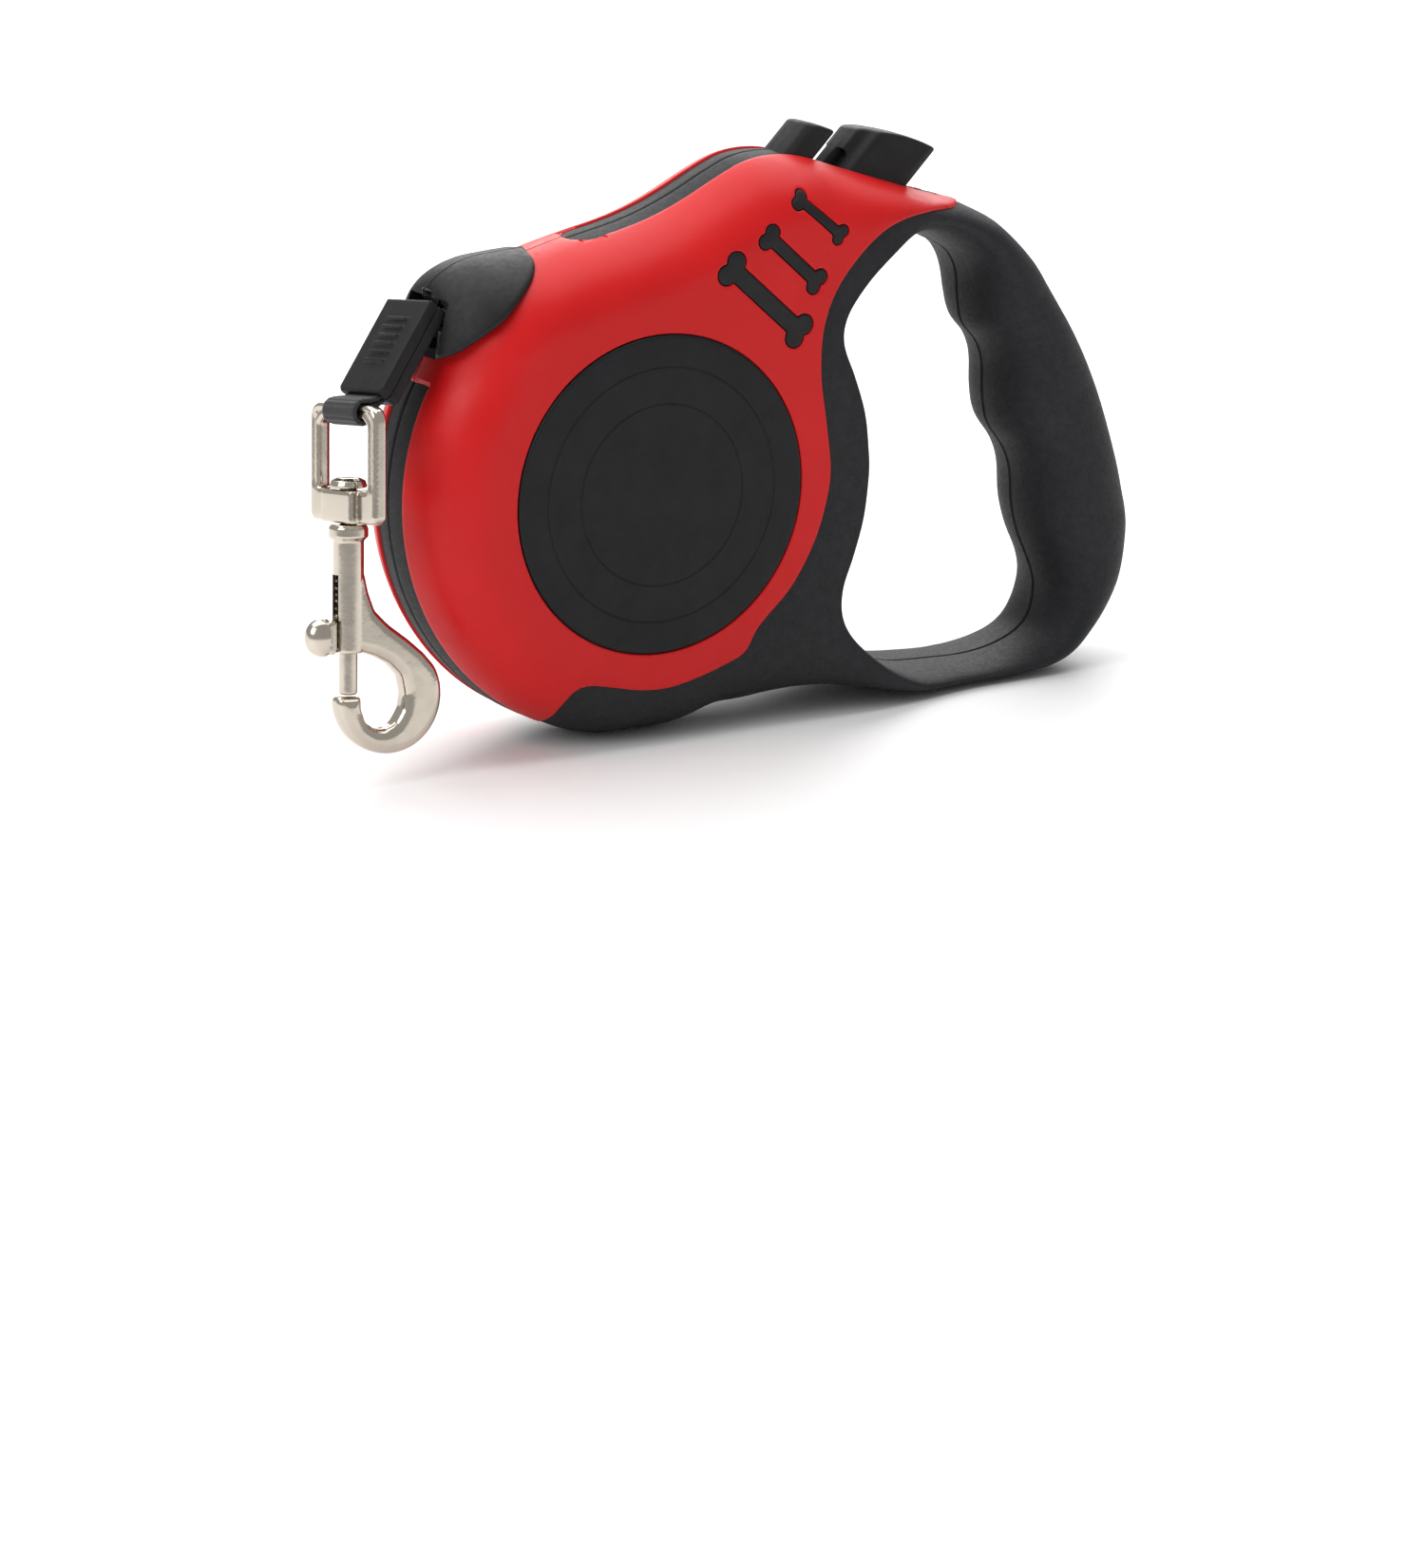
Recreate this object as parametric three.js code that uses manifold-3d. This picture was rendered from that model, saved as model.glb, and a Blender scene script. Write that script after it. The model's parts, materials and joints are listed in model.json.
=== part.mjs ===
// Retractable leash: a hand-held reel with a sprung spool of tape, a brake and a lock button,
// and a swivel snap hook on a tape clip. Millimetres, +Z up, +X towards the hand grip.
import * as THREE from 'three';
import { mergeVertices } from 'three/addons/utils/BufferGeometryUtils.js';
import Module from 'manifold-3d';

const wasm = await Module();
wasm.setup();

// ---------- driving dimensions ----------
const SPOOL_AT = new THREE.Vector3(-20.9, 0, 46.3); // spool axis in the part's own frame
const FLOOR_Z = -46.3; // resting plane, measured from the spool axis
const BODY_R = 46.7; // round part of the casing
const HALF = 17; // half thickness of the casing at the reel
const GRIP_HALF = 12.2; // half thickness of the hand grip
const GAP = 0.3; // clearance between touching pieces
const SEAM = GAP / 2;
const SKIN = 2; // thickness of the coloured covers
const STRIP_HALF = 5; // half width of the grained strip on the rim
const DIAL_R = 29;
const CAVITY_R = 39.5;
const CAVITY_HALF = 12.5;
const FLANGE_R = 38;
const TOOTH_DEPTH = 4.2;
const TOOTH_COUNT = 12;
const HUB_R = 20;
const PACK_R = 33.6;
const TAPE_WIDTH = 9.6;
const TAPE_THICK = 0.8;
const TAPE_Z = 32.8; // height of the tape's straight run to the mouth
const BUTTON_AXIS = new THREE.Vector3(1, 0, 1).normalize();
const PAWL_ANGLE = 45 * Math.PI / 180;

// ---------- small geometry tools ----------
const v2 = (x, z) => new THREE.Vector2(x, z);

function solid(geometry) {
  const bare = new THREE.BufferGeometry();
  bare.setAttribute('position', geometry.getAttribute('position').clone());
  if (geometry.index) bare.setIndex(geometry.index.clone());
  const merged = mergeVertices(bare, 1e-4);
  const vertProperties = new Float32Array(merged.getAttribute('position').array);
  const triVerts = new Uint32Array(merged.index.array);
  return new wasm.Manifold(new wasm.Mesh({ numProp: 3, vertProperties, triVerts }));
}

function geometryOf(body) {
  const mesh = body.getMesh();
  const geometry = new THREE.BufferGeometry();
  geometry.setAttribute('position', new THREE.BufferAttribute(new Float32Array(mesh.vertProperties), 3));
  geometry.setIndex(new THREE.BufferAttribute(new Uint32Array(mesh.triVerts), 1));
  geometry.computeVertexNormals();
  return geometry;
}

function cut(body, ...tools) {
  return tools.reduce((rest, tool) => rest.subtract(tool), body);
}

// The biggest separate piece, without the crumbs that a cut can leave.
function biggest(body) {
  return body.decompose().reduce((best, one) => (one.volume() > best.volume() ? one : best));
}

function join(...bodies) {
  return bodies.reduce((sum, one) => sum.add(one));
}

// A closed XZ outline pushed through from y0 to y1.
function prism(points, y0, y1) {
  const shape = new THREE.Shape(points);
  const geometry = new THREE.ExtrudeGeometry(shape, { depth: y1 - y0, bevelEnabled: false, curveSegments: 8 });
  geometry.rotateX(Math.PI / 2);
  geometry.translate(0, y1, 0);
  return solid(geometry);
}

function box(x0, x1, y0, y1, z0, z1) {
  const geometry = new THREE.BoxGeometry(x1 - x0, y1 - y0, z1 - z0);
  geometry.translate((x0 + x1) / 2, (y0 + y1) / 2, (z0 + z1) / 2);
  return solid(geometry);
}

function rodY(radius, y0, y1, x = 0, z = 0, sides = 24) {
  const geometry = new THREE.CylinderGeometry(radius, radius, y1 - y0, sides);
  geometry.translate(x, (y0 + y1) / 2, z);
  return solid(geometry);
}

function rodZ(radius, z0, z1, x = 0, y = 0, sides = 16) {
  const geometry = new THREE.CylinderGeometry(radius, radius, z1 - z0, sides);
  geometry.rotateX(Math.PI / 2);
  geometry.translate(x, y, (z0 + z1) / 2);
  return solid(geometry);
}

// Turned body about the Y axis from [radius, y] pairs listed with y rising along the outside.
function turned(profile, sides = 40) {
  return solid(new THREE.LatheGeometry(profile.map(([r, y]) => v2(r, y)), sides));
}

function ring(inner, outer, y0, y1, sides = 40) {
  return turned([[inner, y0], [outer, y0], [outer, y1], [inner, y1], [inner, y0]], sides);
}

function helix(radius, wire, length, turns, steps = 8, sides = 4) {
  class Coil extends THREE.Curve {
    getPoint(t, target = new THREE.Vector3()) {
      const angle = t * turns * 2 * Math.PI;
      return target.set(radius * Math.cos(angle), radius * Math.sin(angle), t * length);
    }
  }
  const section = new THREE.Shape();
  section.absarc(0, 0, wire, 0, 2 * Math.PI);
  const options = { steps: turns * steps, extrudePath: new Coil(), curveSegments: sides / 2 };
  return new THREE.ExtrudeGeometry(section, options);
}

function mirrored(body) {
  return body.mirror([0, 1, 0]);
}

function smooth(low, high, x) {
  return THREE.MathUtils.smoothstep(x, low, high);
}

// ---------- casing outlines, seen from the front, measured from the spool axis ----------
function casingOutline(grow = 0) {
  const path = new THREE.Path();
  const start = 146.4 * Math.PI / 180;
  const end = 290 * Math.PI / 180;
  path.absarc(0, 0, BODY_R, start, end, false);
  path.splineThru([
    [22, -43.2], [28, -42.4], [34, -42], [40, -42.2], [47, -43.4], [54, -45.2], [61, -46.4], [70, -46.7],
    [80, -46.7], [88, -46.3], [94, -44.8], [99.1, -41.1], [103.8, -36.3], [107.6, -29.8], [109.5, -20],
    [108.5, -12.9], [106.5, -5.2], [101.7, 9], [97, 18.2], [92.4, 25.4], [87.9, 32.2], [83.1, 37.2],
    [78.5, 41.1], [74.1, 44], [69.8, 46.2], [65.6, 47.4], [61.6, 48.3], [53.8, 50.9], [44, 54.3],
    [36.6, 57], [30.4, 58], [24.1, 57.4], [18, 54.9], [11.1, 51.5], [5.5, 49.2], [-0.5, 47.4], [-10.2, 45.3],
    [-18, 43.3], [-26, 41.1], [-32, 37.8], [-36.4, 33], [BODY_R * Math.cos(start), BODY_R * Math.sin(start)],
  ].map(([x, z]) => v2(x, z)));
  const points = path.getSpacedPoints(76).slice(0, -1);
  return grow ? offset(points, points.map(() => -grow)) : points;
}

function openingOutline() {
  const path = new THREE.Path();
  const corners = [
    [47.5, -37.3], [52, -39.8], [58, -41.9], [66, -42.5], [76, -42.7], [83.9, -41.2], [89.3, -37.9],
    [91.2, -31.5], [89.7, -26], [87.3, -20.6], [85.8, -14.6], [85.4, -8], [83.6, -3.3], [80.1, 1.6],
    [79, 7.4], [78.9, 13.4], [77.4, 17.6], [74.3, 21.1], [73.3, 25.6], [72.8, 31.5], [70.6, 35.4],
    [66.4, 37.9], [61.6, 39.7], [57.1, 40.4], [52.7, 39.2], [46.9, 36.1], [42, 31.1], [39.6, 27.1],
    [39.3, 23.1], [41.3, 17.6], [43.6, 10.3], [44.4, 3.1], [44.5, -1.1], [43.4, -9.4], [41.1, -16.8],
    [39, -22.3], [39, -27.6], [41.9, -32.4], [47.5, -37.3],
  ];
  path.moveTo(...corners[0]);
  path.splineThru(corners.slice(1).map(([x, z]) => v2(x, z)));
  return path.getSpacedPoints(44).slice(0, -1);
}

// Moves each point of a counter-clockwise outline inwards by its own amount.
function offset(points, amounts) {
  const count = points.length;
  return points.map((point, i) => {
    const before = points[(i + count - 1) % count];
    const after = points[(i + 1) % count];
    const along = after.clone().sub(before).normalize();
    return v2(point.x - along.y * amounts[i], point.y + along.x * amounts[i]);
  });
}

function halfThickness(x) {
  return THREE.MathUtils.lerp(HALF, GRIP_HALF, smooth(44, 74, x));
}

function nearest(point, others) {
  return Math.min(...others.map((other) => other.distanceTo(point)));
}

// Rounded front half of a plate: rings of [inset, share of the half thickness] from seam to face.
const OUTER_RINGS = [[0, 0], [0.7, 0.32], [3.2, 0.69], [10.5, 1]];
const SHARP_RINGS = [[0, 0], [0, 0.5], [0.1, 0.94], [1.2, 1]];
const NOZZLE_RINGS = [[0, 0.2], [1.4, 0.42], [5, 0.75], [12, 1]];
const GRIP_RINGS = [[0, 0], [0.7, 0.36], [2.7, 0.72], [8, 1]];

function roundedHalf(outer, hole, height, seam = SEAM, rings = OUTER_RINGS) {
  const widest = rings[rings.length - 1][0];
  const layers = [];
  const room = outer.map((p) => (hole ? Math.min(1, 0.45 * nearest(p, hole) / widest) : 1));
  layers.push(outer.map((p) => [p.x, -seam, p.y]));
  rings.slice(rings[0][1] ? 0 : 1).forEach(([inset, share]) => {
    const ringPoints = offset(outer, room.map((s) => s * inset));
    layers.push(ringPoints.map((p, i) => [p.x, -Math.max(seam, share * height(outer[i].x)), p.y]));
  });
  const holeLayers = [];
  if (hole) {
    const reach = hole.map((p) => nearest(p, outer));
    GRIP_RINGS.forEach(([inset, share], k) => {
      const soft = hole.map((p) => smooth(46, 66, p.x));
      const wanted = soft.map((q, i) => {
        const depth = THREE.MathUtils.lerp(SHARP_RINGS[k][0], inset, q);
        return -depth * Math.min(1, 0.45 * reach[i] / GRIP_RINGS[GRIP_RINGS.length - 1][0]);
      });
      const ringPoints = offset(hole, wanted);
      holeLayers.push(ringPoints.map((p, i) => {
        const part = THREE.MathUtils.lerp(SHARP_RINGS[k][1], share, soft[i]);
        return [p.x, -Math.max(seam, part * height(hole[i].x)), p.y];
      }));
    });
  }
  return plateSolid(layers, holeLayers);
}

function plateSolid(layers, holeLayers) {
  const vertices = [...layers, ...holeLayers].flat();
  const faces = [];
  const wall = (first, count, inwards) => {
    for (let i = 0; i < count; i += 1) {
      const j = (i + 1) % count;
      const a = first + i;
      const b = first + j;
      const c = first + count + j;
      const d = first + count + i;
      faces.push(...(inwards ? [a, c, b, a, d, c] : [a, b, c, a, c, d]));
    }
  };
  const count = layers[0].length;
  for (let k = 0; k + 1 < layers.length; k += 1) wall(k * count, count, false);
  const base = layers.length * count;
  const holeCount = holeLayers.length ? holeLayers[0].length : 0;
  for (let k = 0; k + 1 < holeLayers.length; k += 1) wall(base + k * holeCount, holeCount, true);
  const cap = (layer, holeLayer, first, holeFirst, flip) => {
    const contour = layer.map(([x, , z]) => v2(x, z));
    const holes = holeLayer ? [holeLayer.map(([x, , z]) => v2(x, z)).reverse()] : [];
    const at = (n) => (n < count ? first + n : holeFirst + (holeCount - 1 - (n - count)));
    THREE.ShapeUtils.triangulateShape(contour, holes).forEach(([a, b, c]) => {
      faces.push(...(flip ? [at(a), at(c), at(b)] : [at(a), at(b), at(c)]));
    });
  };
  const last = layers.length - 1;
  cap(layers[0], holeLayers[0], 0, base, true);
  cap(layers[last], holeLayers[last], last * count, base + last * holeCount, false);
  const geometry = new THREE.BufferGeometry();
  geometry.setAttribute('position', new THREE.Float32BufferAttribute(vertices.flat(), 3));
  geometry.setIndex(faces);
  return solid(geometry);
}

// ---------- casing zones ----------
function coverZone(grow) {
  const edge = [
    [66.5, 60], [64.2, 48.5], [57.5, 46.4], [50.8, 44.9], [45.4, 42.6], [40.1, 37.9], [36.1, 32.5],
    [33.8, 25.8], [33.5, 17.7], [34.6, 9.4], [35.5, 0.3], [34.2, -6.7], [31.6, -13.4], [27, -20.5],
    [20.4, -26.8], [17.4, -31.2], [13.2, -33.1], [7, -34.9], [1.1, -35.9], [-4.6, -35.5], [-10.8, -34.1],
    [-14.9, -33.4], [-17.6, -34.4], [-18.9, -37.4], [-19, -41], [-19, -54], [-64, -54], [-64, 70], [66.5, 70],
  ].map(([x, z]) => v2(x, z)).reverse();
  const moved = offset(edge, edge.map(() => -grow));
  const zone = prism(moved, -2 * HALF, 0);
  const strip = STRIP_HALF - grow;
  const lowStrip = box(-70, 10, -strip, 1, -60, 22 - grow);
  const topStrip = box(-10.5 + grow, 80, -strip, 1, 30, 80);
  return cut(zone, lowStrip, topStrip, nozzleZone(GAP - grow));
}

function nozzleZone(grow) {
  const edge = [
    [-17.6, 60], [-17.9, 46.5], [-19.2, 43.6], [-21.6, 41.2], [-25.8, 38.1], [-30.2, 34.8],
    [-34.4, 31.7], [-37.9, 28.9], [-40.4, 27.4], [-43.4, 26.4], [-60, 26.4], [-60, 60],
  ].map(([x, z]) => v2(x, z)).reverse();
  return prism(offset(edge, edge.map(() => -grow)), -2 * HALF, 0);
}

function nozzleOutline() {
  const path = new THREE.Path();
  path.moveTo(30, 58);
  path.splineThru([
    [10, 51.6], [-1.2, 48], [-10.6, 45.9], [-15, 44.8], [-19.5, 44], [-24.2, 43.7], [-29.7, 43.1],
    [-34.5, 41.3], [-38, 38.4], [-40.1, 34.6], [-41.6, 30], [-43, 24], [-45, 14], [-47.6, 2],
  ].map(([x, z]) => v2(x, z)));
  path.lineTo(-40, -30);
  path.lineTo(30, -31);
  return path.getPoints(1);
}

// Everything in front of the slanted mouth of the nozzle.
function mouthCut() {
  return prism([v2(-41.6, 24), v2(-38.3, 38.8), v2(-38.3, 60), v2(-70, 60), v2(-70, 24)].reverse(), -30, 1);
}

// The way of the tape, from the spool chamber to the mouth.
function tapeChannel(grow) {
  const floorLine = [[-50, 28.2], [-35.6, 29], [-34.4, 31.2], [-15, 31.2]];
  const roofLine = [[-15, 34.6], [-34.4, 34.6], [-35.6, 37], [-50, 37.6]];
  const edge = [...floorLine, ...roofLine].map(([x, z]) => v2(x, z));
  return prism(offset(edge, edge.map(() => -grow)), -6.3 - grow, 1);
}

const GRIP_HOLLOW = [
  [83, 28], [84.5, 17], [86, 6], [90, -2], [91.5, -14], [96, -26], [97, -34], [101.5, -31], [104, -20],
  [101, -6], [95.5, 9], [91, 18], [87, 25],
];
const PIN_SPOTS = [[-29, 34.75], [-29, 30.85]];
const SCREW_SPOTS = [[13, 44.3], [80.5, 34], [98.8, -18.5], [33.5, -35.3]];
const PIN_R = 1.3;
const SCREW_R = 1.35;

const outer = casingOutline();
const opening = openingOutline();
const floorCut = box(-80, 140, -40, 40, FLOOR_Z - 20, FLOOR_Z);
const fullHalf = cut(roundedHalf(outer, opening, halfThickness), floorCut);

function coreHalf(depth) {
  return roundedHalf(casingOutline(-depth), null, (x) => halfThickness(x) - depth, 0);
}

// ---------- buttons, in the plane of the casing ----------
const BRAKE = { base: [51.4, 51.8], half: 7.7, depth: 5.4, top: 8.4, slope: -0.3 };
const LOCK = { base: [36.8, 56.9], half: 3.2, depth: 4.6, top: 6.3, slope: -0.34 };

// Frame of a button: local z out of the casing along its travel, local x down the slope.
function buttonFrame({ base }) {
  const z = BUTTON_AXIS;
  const x = new THREE.Vector3(z.z, 0, -z.x);
  const y = new THREE.Vector3().crossVectors(z, x);
  return new THREE.Matrix4().makeBasis(x, y, z).setPosition(base[0], 0, base[1]);
}

function placed(body, matrix) {
  return body.transform(matrix.elements);
}

// Plan of a button: a wide body with a narrow rounded nose towards the mouth.
function buttonPlan({ half, depth }, nose, grow) {
  const shape = new THREE.Shape();
  const waist = -half + 0.52 * half * nose;
  const tip = nose ? 0.55 * depth : 0.8 * depth;
  shape.moveTo(-half - grow + 1.2, -tip - grow);
  if (nose) shape.lineTo(waist, -tip - grow);
  shape.lineTo(waist + 1.6, -depth - grow);
  shape.lineTo(half + grow - 1.8, -depth - grow);
  shape.quadraticCurveTo(half + grow, -depth - grow, half + grow, -depth - grow + 1.8);
  shape.lineTo(half + grow, depth + grow - 1.8);
  shape.quadraticCurveTo(half + grow, depth + grow, half + grow - 1.8, depth + grow);
  shape.lineTo(waist + 1.6, depth + grow);
  if (nose) shape.lineTo(waist, tip + grow);
  shape.lineTo(-half - grow + 1.2, tip + grow);
  shape.quadraticCurveTo(-half - grow, tip + grow, -half - grow, 0);
  shape.quadraticCurveTo(-half - grow, -tip - grow, -half - grow + 1.2, -tip - grow);
  return shape;
}

function buttonColumn(spec, nose, grow, z0, z1) {
  const options = { depth: z1 - z0, bevelEnabled: false, curveSegments: 3 };
  const geometry = new THREE.ExtrudeGeometry(buttonPlan(spec, nose, grow), options);
  geometry.translate(0, 0, z0);
  return solid(geometry);
}

// Everything above the sloping top line of a button, in the button's frame.
function aboveTop({ top, slope }) {
  const lean = Math.atan(slope) + Math.PI / 4;
  const geometry = new THREE.BoxGeometry(60, 40, 20);
  geometry.translate(0, 0, 10);
  geometry.rotateY(-lean);
  geometry.translate(0, 0, top);
  return solid(geometry);
}

const CAP_FOOT = { brake: -6, lock: -4 };
const BRAKE_FLANGE = { half: 7, side: 7.2, low: -8.6, high: -5.8 };
const LOCK_FLANGE = { half: 4.6, side: 5.6, low: -6, high: -3.8 };
const STEM = { half: 2, front: -7.2, back: -5.2, low: -26.5 };
const PAWL_LOW = -33.6;
const BRAKE_TRAVEL = 4.5;
const LOCK_TRAVEL = 3;

function slab(half, y0, y1, z0, z1) {
  return box(-half, half, y0, y1, z0, z1);
}

function flangePlate({ half, side, low, high }) {
  return slab(half, -side, side, low, high);
}

// Room for a flange and its travel, open at the seam.
function flangeRoom({ half, side, low, high }, travel) {
  return slab(half + GAP, -side - GAP, 1, low - travel - GAP, high + GAP);
}

function brakeButton() {
  const cap = cut(buttonColumn(BRAKE, 1, 0, CAP_FOOT.brake, 20), aboveTop(BRAKE));
  const notch = box(-12, -6.9, -8, 8, -1.2, 1.6);
  const stem = slab(STEM.half, STEM.front, STEM.back, STEM.low, BRAKE_FLANGE.low + 0.5);
  return placed(cut(join(cap, flangePlate(BRAKE_FLANGE), stem), notch), buttonFrame(BRAKE));
}

function brakePawl() {
  const arm = slab(STEM.half, STEM.front, STEM.back, PAWL_LOW, STEM.low - GAP);
  return placed(arm, buttonFrame(BRAKE));
}

function lockButton() {
  const cap = cut(buttonColumn(LOCK, 0, 0, CAP_FOOT.lock, 16), aboveTop(LOCK));
  return placed(join(cap, flangePlate(LOCK_FLANGE)), buttonFrame(LOCK));
}

function buttonWells() {
  const brake = buttonColumn(BRAKE, 1, GAP, CAP_FOOT.brake - BRAKE_TRAVEL - GAP, 20);
  const stemRoom = slab(STEM.half + GAP, STEM.front - GAP, STEM.back + GAP, PAWL_LOW, BRAKE_FLANGE.low);
  const springRoom = slab(3, -3.2, 1, -17, BRAKE_FLANGE.low);
  const lock = buttonColumn(LOCK, 0, GAP, CAP_FOOT.lock - LOCK_TRAVEL - GAP, 16);
  const lockSpringRoom = slab(2.2, -2.4, 1, -13, LOCK_FLANGE.low);
  return [
    placed(join(brake, flangeRoom(BRAKE_FLANGE, BRAKE_TRAVEL), stemRoom, springRoom), buttonFrame(BRAKE)),
    placed(join(lock, flangeRoom(LOCK_FLANGE, LOCK_TRAVEL), lockSpringRoom), buttonFrame(LOCK)),
  ];
}

// ---------- casing pieces ----------
function screwHoles(front) {
  return SCREW_SPOTS.map(([x, z]) => {
    const bore = rodY(SCREW_R + GAP, -8, 20, x, z, 12);
    const head = rodY(3.1, 6.2, 30, x, z, 16);
    return front ? bore : join(bore, head);
  });
}

function pinHoles() {
  return PIN_SPOTS.map(([x, z]) => rodY(PIN_R + 0.1, -8.3, 1, x, z, 12));
}

function housingHalf() {
  const core = coreHalf(SKIN + GAP).intersect(coreHalf(SKIN));
  const outerCut = cut(coverZone(GAP), core);
  const dialPocket = rodY(DIAL_R + GAP, -2 * HALF, -HALF + SKIN + GAP, 0, 0, 40);
  const chamber = rodY(CAVITY_R, -CAVITY_HALF, 1, 0, 0, 48);
  const hollow = prism(GRIP_HOLLOW.map(([x, z]) => v2(x, z)).reverse(), -7.5, 1);
  const nozzleCut = cut(nozzleZone(GAP), core);
  const axleHole = rodY(4 + 0.1, -2 * HALF, 1, 0, 0, 20);
  const shell = cut(fullHalf, outerCut, nozzleCut, dialPocket, chamber, hollow, tapeChannel(0), axleHole,
    ...pinHoles(), ...buttonWells());
  return biggest(shell);
}

function coverHalf() {
  const skin = cut(fullHalf.intersect(coverZone(0)), coreHalf(SKIN));
  const dial = rodY(DIAL_R + GAP, -2 * HALF, 1, 0, 0, 48);
  const bones = BONES.map((bone) => prism(boneOutline(bone, GAP), -2 * HALF, 1));
  return cut(skin, dial, ...bones, ...pinHoles(), ...buttonWells());
}

function nozzleHalf() {
  const shell = roundedHalf(nozzleOutline(), null, () => HALF + 0.9, SEAM, NOZZLE_RINGS);
  const whole = cut(shell.intersect(nozzleZone(0)), coreHalf(SKIN), tapeChannel(0), mouthCut(), ...pinHoles());
  return cut(whole, clipRoom(), mirrored(clipRoom()));
}

// A dog bone outline: two lobes at each end of a straight bar.
const BONES = [
  { from: [14.6, 39.6], to: [28.6, 26.9], bar: 1.75, lobe: 2, side: 1.55 },
  { from: [22.4, 44.6], to: [32.3, 35.6], bar: 1.3, lobe: 1.5, side: 1.15 },
  { from: [29.4, 50.6], to: [37.3, 43.7], bar: 1, lobe: 1.2, side: 0.92 },
];

function boneOutline({ from, to, bar, lobe, side }, grow) {
  const length = Math.hypot(to[0] - from[0], to[1] - from[1]);
  const turn = Math.atan2(to[1] - from[1], to[0] - from[0]);
  const r = lobe + grow;
  const leavesBar = Math.asin((side - bar - grow) / r);
  const meetsTwin = Math.asin(side / r);
  const path = new THREE.Path();
  path.absarc(length, -side, r, -Math.PI - leavesBar, meetsTwin, false);
  path.absarc(length, side, r, -meetsTwin, Math.PI + leavesBar, false);
  path.absarc(0, side, r, -leavesBar, Math.PI + meetsTwin, false);
  path.absarc(0, -side, r, Math.PI - meetsTwin, 2 * Math.PI + leavesBar, false);
  const points = [];
  path.getPoints(6).forEach((p) => {
    const last = points[points.length - 1];
    if (!last || last.distanceTo(p) > 0.05) points.push(p);
  });
  if (points[0].distanceTo(points[points.length - 1]) < 0.05) points.pop();
  return points.map((p) => v2(
    from[0] + p.x * Math.cos(turn) - p.y * Math.sin(turn),
    from[1] + p.x * Math.sin(turn) + p.y * Math.cos(turn),
  ));
}

function boneInlay(bone) {
  return cut(fullHalf.intersect(prism(boneOutline(bone, 0), -2 * HALF, 1)), coreHalf(SKIN));
}

function dialCover() {
  const back = -HALF + SKIN;
  const face = -HALF - 0.25;
  return turned([[0, face], [DIAL_R - 0.6, face], [DIAL_R, face + 0.6], [DIAL_R, back], [0, back]], 56);
}

function screw([x, z]) {
  const shaft = [[0, -5.5], [0.5, -5.5], [SCREW_R, -4.6], [SCREW_R, 6.5]];
  const head = [[2.8, 6.5], [2.8, 7.7], [1.8, 8.5], [0, 8.5]];
  return turned([...shaft, ...head], 14).translate([x, 0, z]);
}

// ---------- reel ----------
function ratchetFlange() {
  const points = [];
  const pitch = 2 * Math.PI / TOOTH_COUNT;
  const root = FLANGE_R - TOOTH_DEPTH;
  for (let k = 0; k < TOOTH_COUNT; k += 1) {
    const mid = PAWL_ANGLE + k * pitch;
    [[-0.3, root], [-0.1, root], [0.1, root], [0.3, root], [0.34, FLANGE_R], [0.5, FLANGE_R], [0.66, FLANGE_R]]
      .forEach(([share, r]) => {
        const angle = mid + share * pitch;
        points.push(v2(r * Math.cos(angle), r * Math.sin(angle)));
      });
  }
  return prism(points, -7.2, -5.2);
}

function spoolBody() {
  const hub = ring(HUB_R - 1.6, HUB_R, -5.4, 5.2);
  const web = ring(4.3, HUB_R, -7.2, -5.3);
  const teeth = cut(ratchetFlange(), rodY(HUB_R - 1, -8, -5, 0, 0, 40));
  const sleeve = ring(4.3, 5.6, -7.2, -3.4, 24);
  return join(hub, web, teeth, sleeve);
}

function spoolFlange() {
  return ring(HUB_R - 1.6, FLANGE_R, 5.2 + GAP, 7, 48);
}

function springCover() {
  return ring(4.3, HUB_R - 1.6 - GAP, 5.2 + GAP, 7, 32);
}

// Flat spiral of spring strip between the axle and the inside of the hub.
function mainspring() {
  const turns = 4.5;
  const steps = 84;
  const thick = 0.45;
  const edge = (extra) => Array.from({ length: steps + 1 }, (_, i) => {
    const share = i / steps;
    const radius = 6.3 + share * 11 + extra;
    const angle = share * turns * 2 * Math.PI;
    return v2(radius * Math.cos(angle), radius * Math.sin(angle));
  });
  return prism([...edge(thick), ...edge(0).reverse()], -3, 4.6);
}

function reelAxle() {
  const shaft = turned([[0, -14.4], [4, -14.4], [4, 14.4], [0, 14.4]], 20);
  const slot = box(-0.5, 0.5, -2.8, 5, -6, 6);
  return cut(shaft, slot);
}

function tapePack() {
  return ring(HUB_R + GAP, PACK_R, -TAPE_WIDTH / 2, TAPE_WIDTH / 2, 48);
}

function ribbon(points, thick = TAPE_THICK, width = TAPE_WIDTH) {
  const upper = points.map(([x, z]) => v2(x, z));
  const closed = [...upper, ...upper.map((p) => v2(p.x, p.y - thick)).reverse()];
  return prism(THREE.ShapeUtils.isClockWise(closed) ? closed.reverse() : closed, -width / 2, width / 2);
}

function tapeRun() {
  return ribbon([[0, 34.7], [-8, 34.2], [-18, 33.5], [-25, TAPE_Z + 0.4]]);
}

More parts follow.
